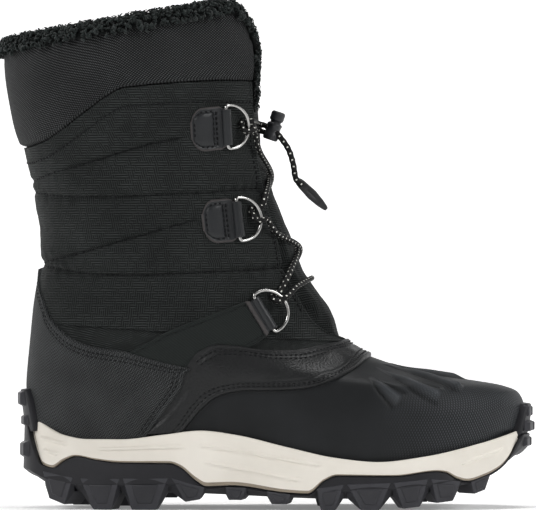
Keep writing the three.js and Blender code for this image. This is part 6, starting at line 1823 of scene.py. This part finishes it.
CURLS, JOINTS, CURL_SIDES = 4300, 7, 3
share = rng.uniform(0.004, 0.996, CURLS)
place, normal, outward, size = fur_frame(share)
turn = rng.uniform(-0.04, 1.04, CURLS)
out, up = pile_profile(turn, size)
root_at = place + normal * out[:, None] + outward * (up - 1.2)[:, None]
lean = np.cos(np.pi * np.clip(turn, 0, 1)) * 1.15
stand = 0.35 + np.sin(np.pi * np.clip(turn, 0, 1))
way = unit(normal * lean[:, None] + outward * stand[:, None] + rng.normal(0, 0.5, (CURLS, 3)))
side_way = unit(np.cross(way, rng.normal(size=(CURLS, 3))))
other_way = np.cross(way, side_way)
length = rng.uniform(2.2, 3.7, CURLS) * mix(0.8, 1, size)
s = np.linspace(0, 1, JOINTS)
first_spin, spins = rng.uniform(0, 2 * np.pi, CURLS), rng.uniform(5.5, 10.0, CURLS)
spin = first_spin[:, None] + s * spins[:, None] * rng.choice([-1, 1], CURLS)[:, None]
swing = rng.uniform(0.7, 1.4, CURLS)[:, None] * s**0.6
spine = root_at[:, None] + way[:, None] * (s * length[:, None] * 0.9)[..., None]
spine = spine + side_way[:, None] * (swing * np.cos(spin))[..., None]
spine = spine + other_way[:, None] * (swing * np.sin(spin))[..., None]
thick = mix(0.8, 0.5, s**1.6) * rng.uniform(0.8, 1.25, CURLS)[:, None]
around = np.arange(CURL_SIDES)[:, None] * 2 * np.pi / CURL_SIDES
ring = side_way[:, None, None] * np.cos(around) + other_way[:, None, None] * np.sin(around)
curl_points = spine[:, :, None] + ring * thick[:, :, None, None]
ids = np.arange(curl_points.size // 3).reshape(CURLS, JOINTS, CURL_SIDES)
curl_points = curl_points.reshape(-1, 3)
curl_faces = [quads(ids, wrap=True), np.concatenate([ids[:, 0, ::-1], ids[:, -1]])]
if enclosed(curl_points, curl_faces) < 0:
    curl_faces = [f[:, ::-1] for f in curl_faces]
points, faces, cloth = join([roll, (curl_points, curl_faces, np.zeros((len(curl_points), 2)))])
fur = make_piece("sherpa_collar", points, faces, [fur_fibre], sharp=None, slot="fur", replaces=["fur_collar"])
# The tip value: low on the roll and at each curl's root, painted shade, rising to the curl's tip, painted
# highlight.
curl_tip = np.broadcast_to(s[None, :, None], (CURLS, JOINTS, CURL_SIDES)).ravel()
tip = np.concatenate([np.full(len(roll[0]), 0.1), curl_tip])
fur.data.attributes.new("tip", "FLOAT", "POINT").data.foreach_set("value", tip.astype(np.float32))

# %% [markdown]
# ## Seams
# The quilting, the cuff's seam and the throat's hem are sewn with the same thread. Each stitch is laid in its
# trough along a line on the last.

# %% Stitches along the seams
SEAM_STITCH = (2.6, 2.0, 0.8)  # pitch, length, thickness


def sew_seam(angle, level, lift):
    """A row of stitches in the quilted shell's own surface."""
    return sew(angle, level, quilt(last(angle, level)) + lift, *SEAM_STITCH)


seam_stitches = []
for read, first, end in quilting:
    xs = np.linspace(first + 1, end, 160)
    angle, level = locate(xs, read(xs))
    seam_stitches += [sew_seam(on_side(angle, sign), level, 0.12) for sign in (-1, 1)]
front = throat(16.5) + 0.04
angle = np.linspace(front, 2 * np.pi - front, 500)
seam_stitches.append(sew_seam(angle, seam_level(side_angle(angle)) - 0.42, 0.15))
level = np.linspace(11.6, 16.6, 200)
seam_stitches += [sew_seam(sign * (throat(level) + 0.075), level, 0.35) for sign in (1, -1)]
everything = counter_stitches + band_stitches + tab_stitches + strap_stitches + seam_stitches
points, faces, cloth = join(everything)
make_piece("sewing_thread", points, faces, [thread], sharp=None)

# %% [markdown]
# ## Backdrop and light
# The photograph is a cut-out on white under broad soft light. A pale bowl stands in for it, large enough to
# hold a camera that goes round the boot. Big lamps hang above and to both sides, and the world fills the
# shadows.

# %% Bowl, lamps and world
BOWL_SIDES = 96
turn = np.linspace(0, 2 * np.pi, BOWL_SIDES + 1)[:-1]
profile = [(1.2, 0.0), (3.0, 0.0), (6.8, 0.12), (8.2, 0.7), (8.8, 2.0), (9.0, 4.6)]
bowl_points = [(r * np.cos(a), r * np.sin(a), z) for r, z in profile for a in turn] + [(0, 0, 0)]
ids = np.arange(len(profile) * BOWL_SIDES).reshape(-1, BOWL_SIDES)
bowl_faces = quads(ids, wrap=True)[:, ::-1].tolist()
bowl_faces += [(i, (i + 1) % BOWL_SIDES, len(bowl_points) - 1) for i in range(BOWL_SIDES)]
bowl_mesh = bpy.data.meshes.new("backdrop")
bowl_mesh.from_pydata(bowl_points, [], bowl_faces)
bowl_mesh.shade_smooth()
paper, tree, shader = start_material(
    "white backdrop", "f4f4f4", 0.95, Specular_IOR_Level=0.0, Emission_Color=(1, 1, 1, 1)
)
# The paper glows behind the boot and hardly before it, so that the dark side stays dark
behind = add(tree, "SeparateXYZ", {0: add(tree, "TexCoord", out="Object")}, "Y")
glow = add(tree, "MapRange", {0: behind, 1: -0.5, 2: 1.5, 3: 0.03, 4: 0.75})
tree.links.new(glow, shader.inputs["Emission Strength"])
bowl_mesh.materials.append(paper)
bowl = bpy.data.objects.new("backdrop", bowl_mesh)
bpy.context.scene.collection.objects.link(bowl)


def lamp(name, place, size, power, target=(0, 0, 0.12)):
    light = bpy.data.lights.new(name, "AREA")
    light.shape, light.size, light.energy = "DISK", size, power
    made = bpy.data.objects.new(name, light)
    made.location = place
    away = np.array(place) - np.array(target)
    flat = np.hypot(away[0], away[1])
    made.rotation_euler = (np.arctan2(flat, away[2]), 0, np.arctan2(away[1], away[0]) + np.pi / 2)
    bpy.context.scene.collection.objects.link(made)
    return made


lamp("left", (-1.7, -1.5, 1.7), 0.9, 30)
lamp("right", (1.9, -1.3, 1.5), 0.9, 26)
lamp("top", (0.1, 0.3, 2.2), 1.2, 22)
lamp("behind", (-1.0, 1.7, 1.3), 1.2, 10)
world = bpy.data.worlds.new("studio")
world.use_nodes = True
world.node_tree.nodes["Background"].inputs[0].default_value = (1, 1, 1, 1)
world.node_tree.nodes["Background"].inputs[1].default_value = 0.12
bpy.context.scene.world = world
bpy.context.scene.view_settings.view_transform = "Standard"
for stage_light in (o for o in bpy.data.objects if o.type == "LIGHT"):
    stage_light.visible_camera = False
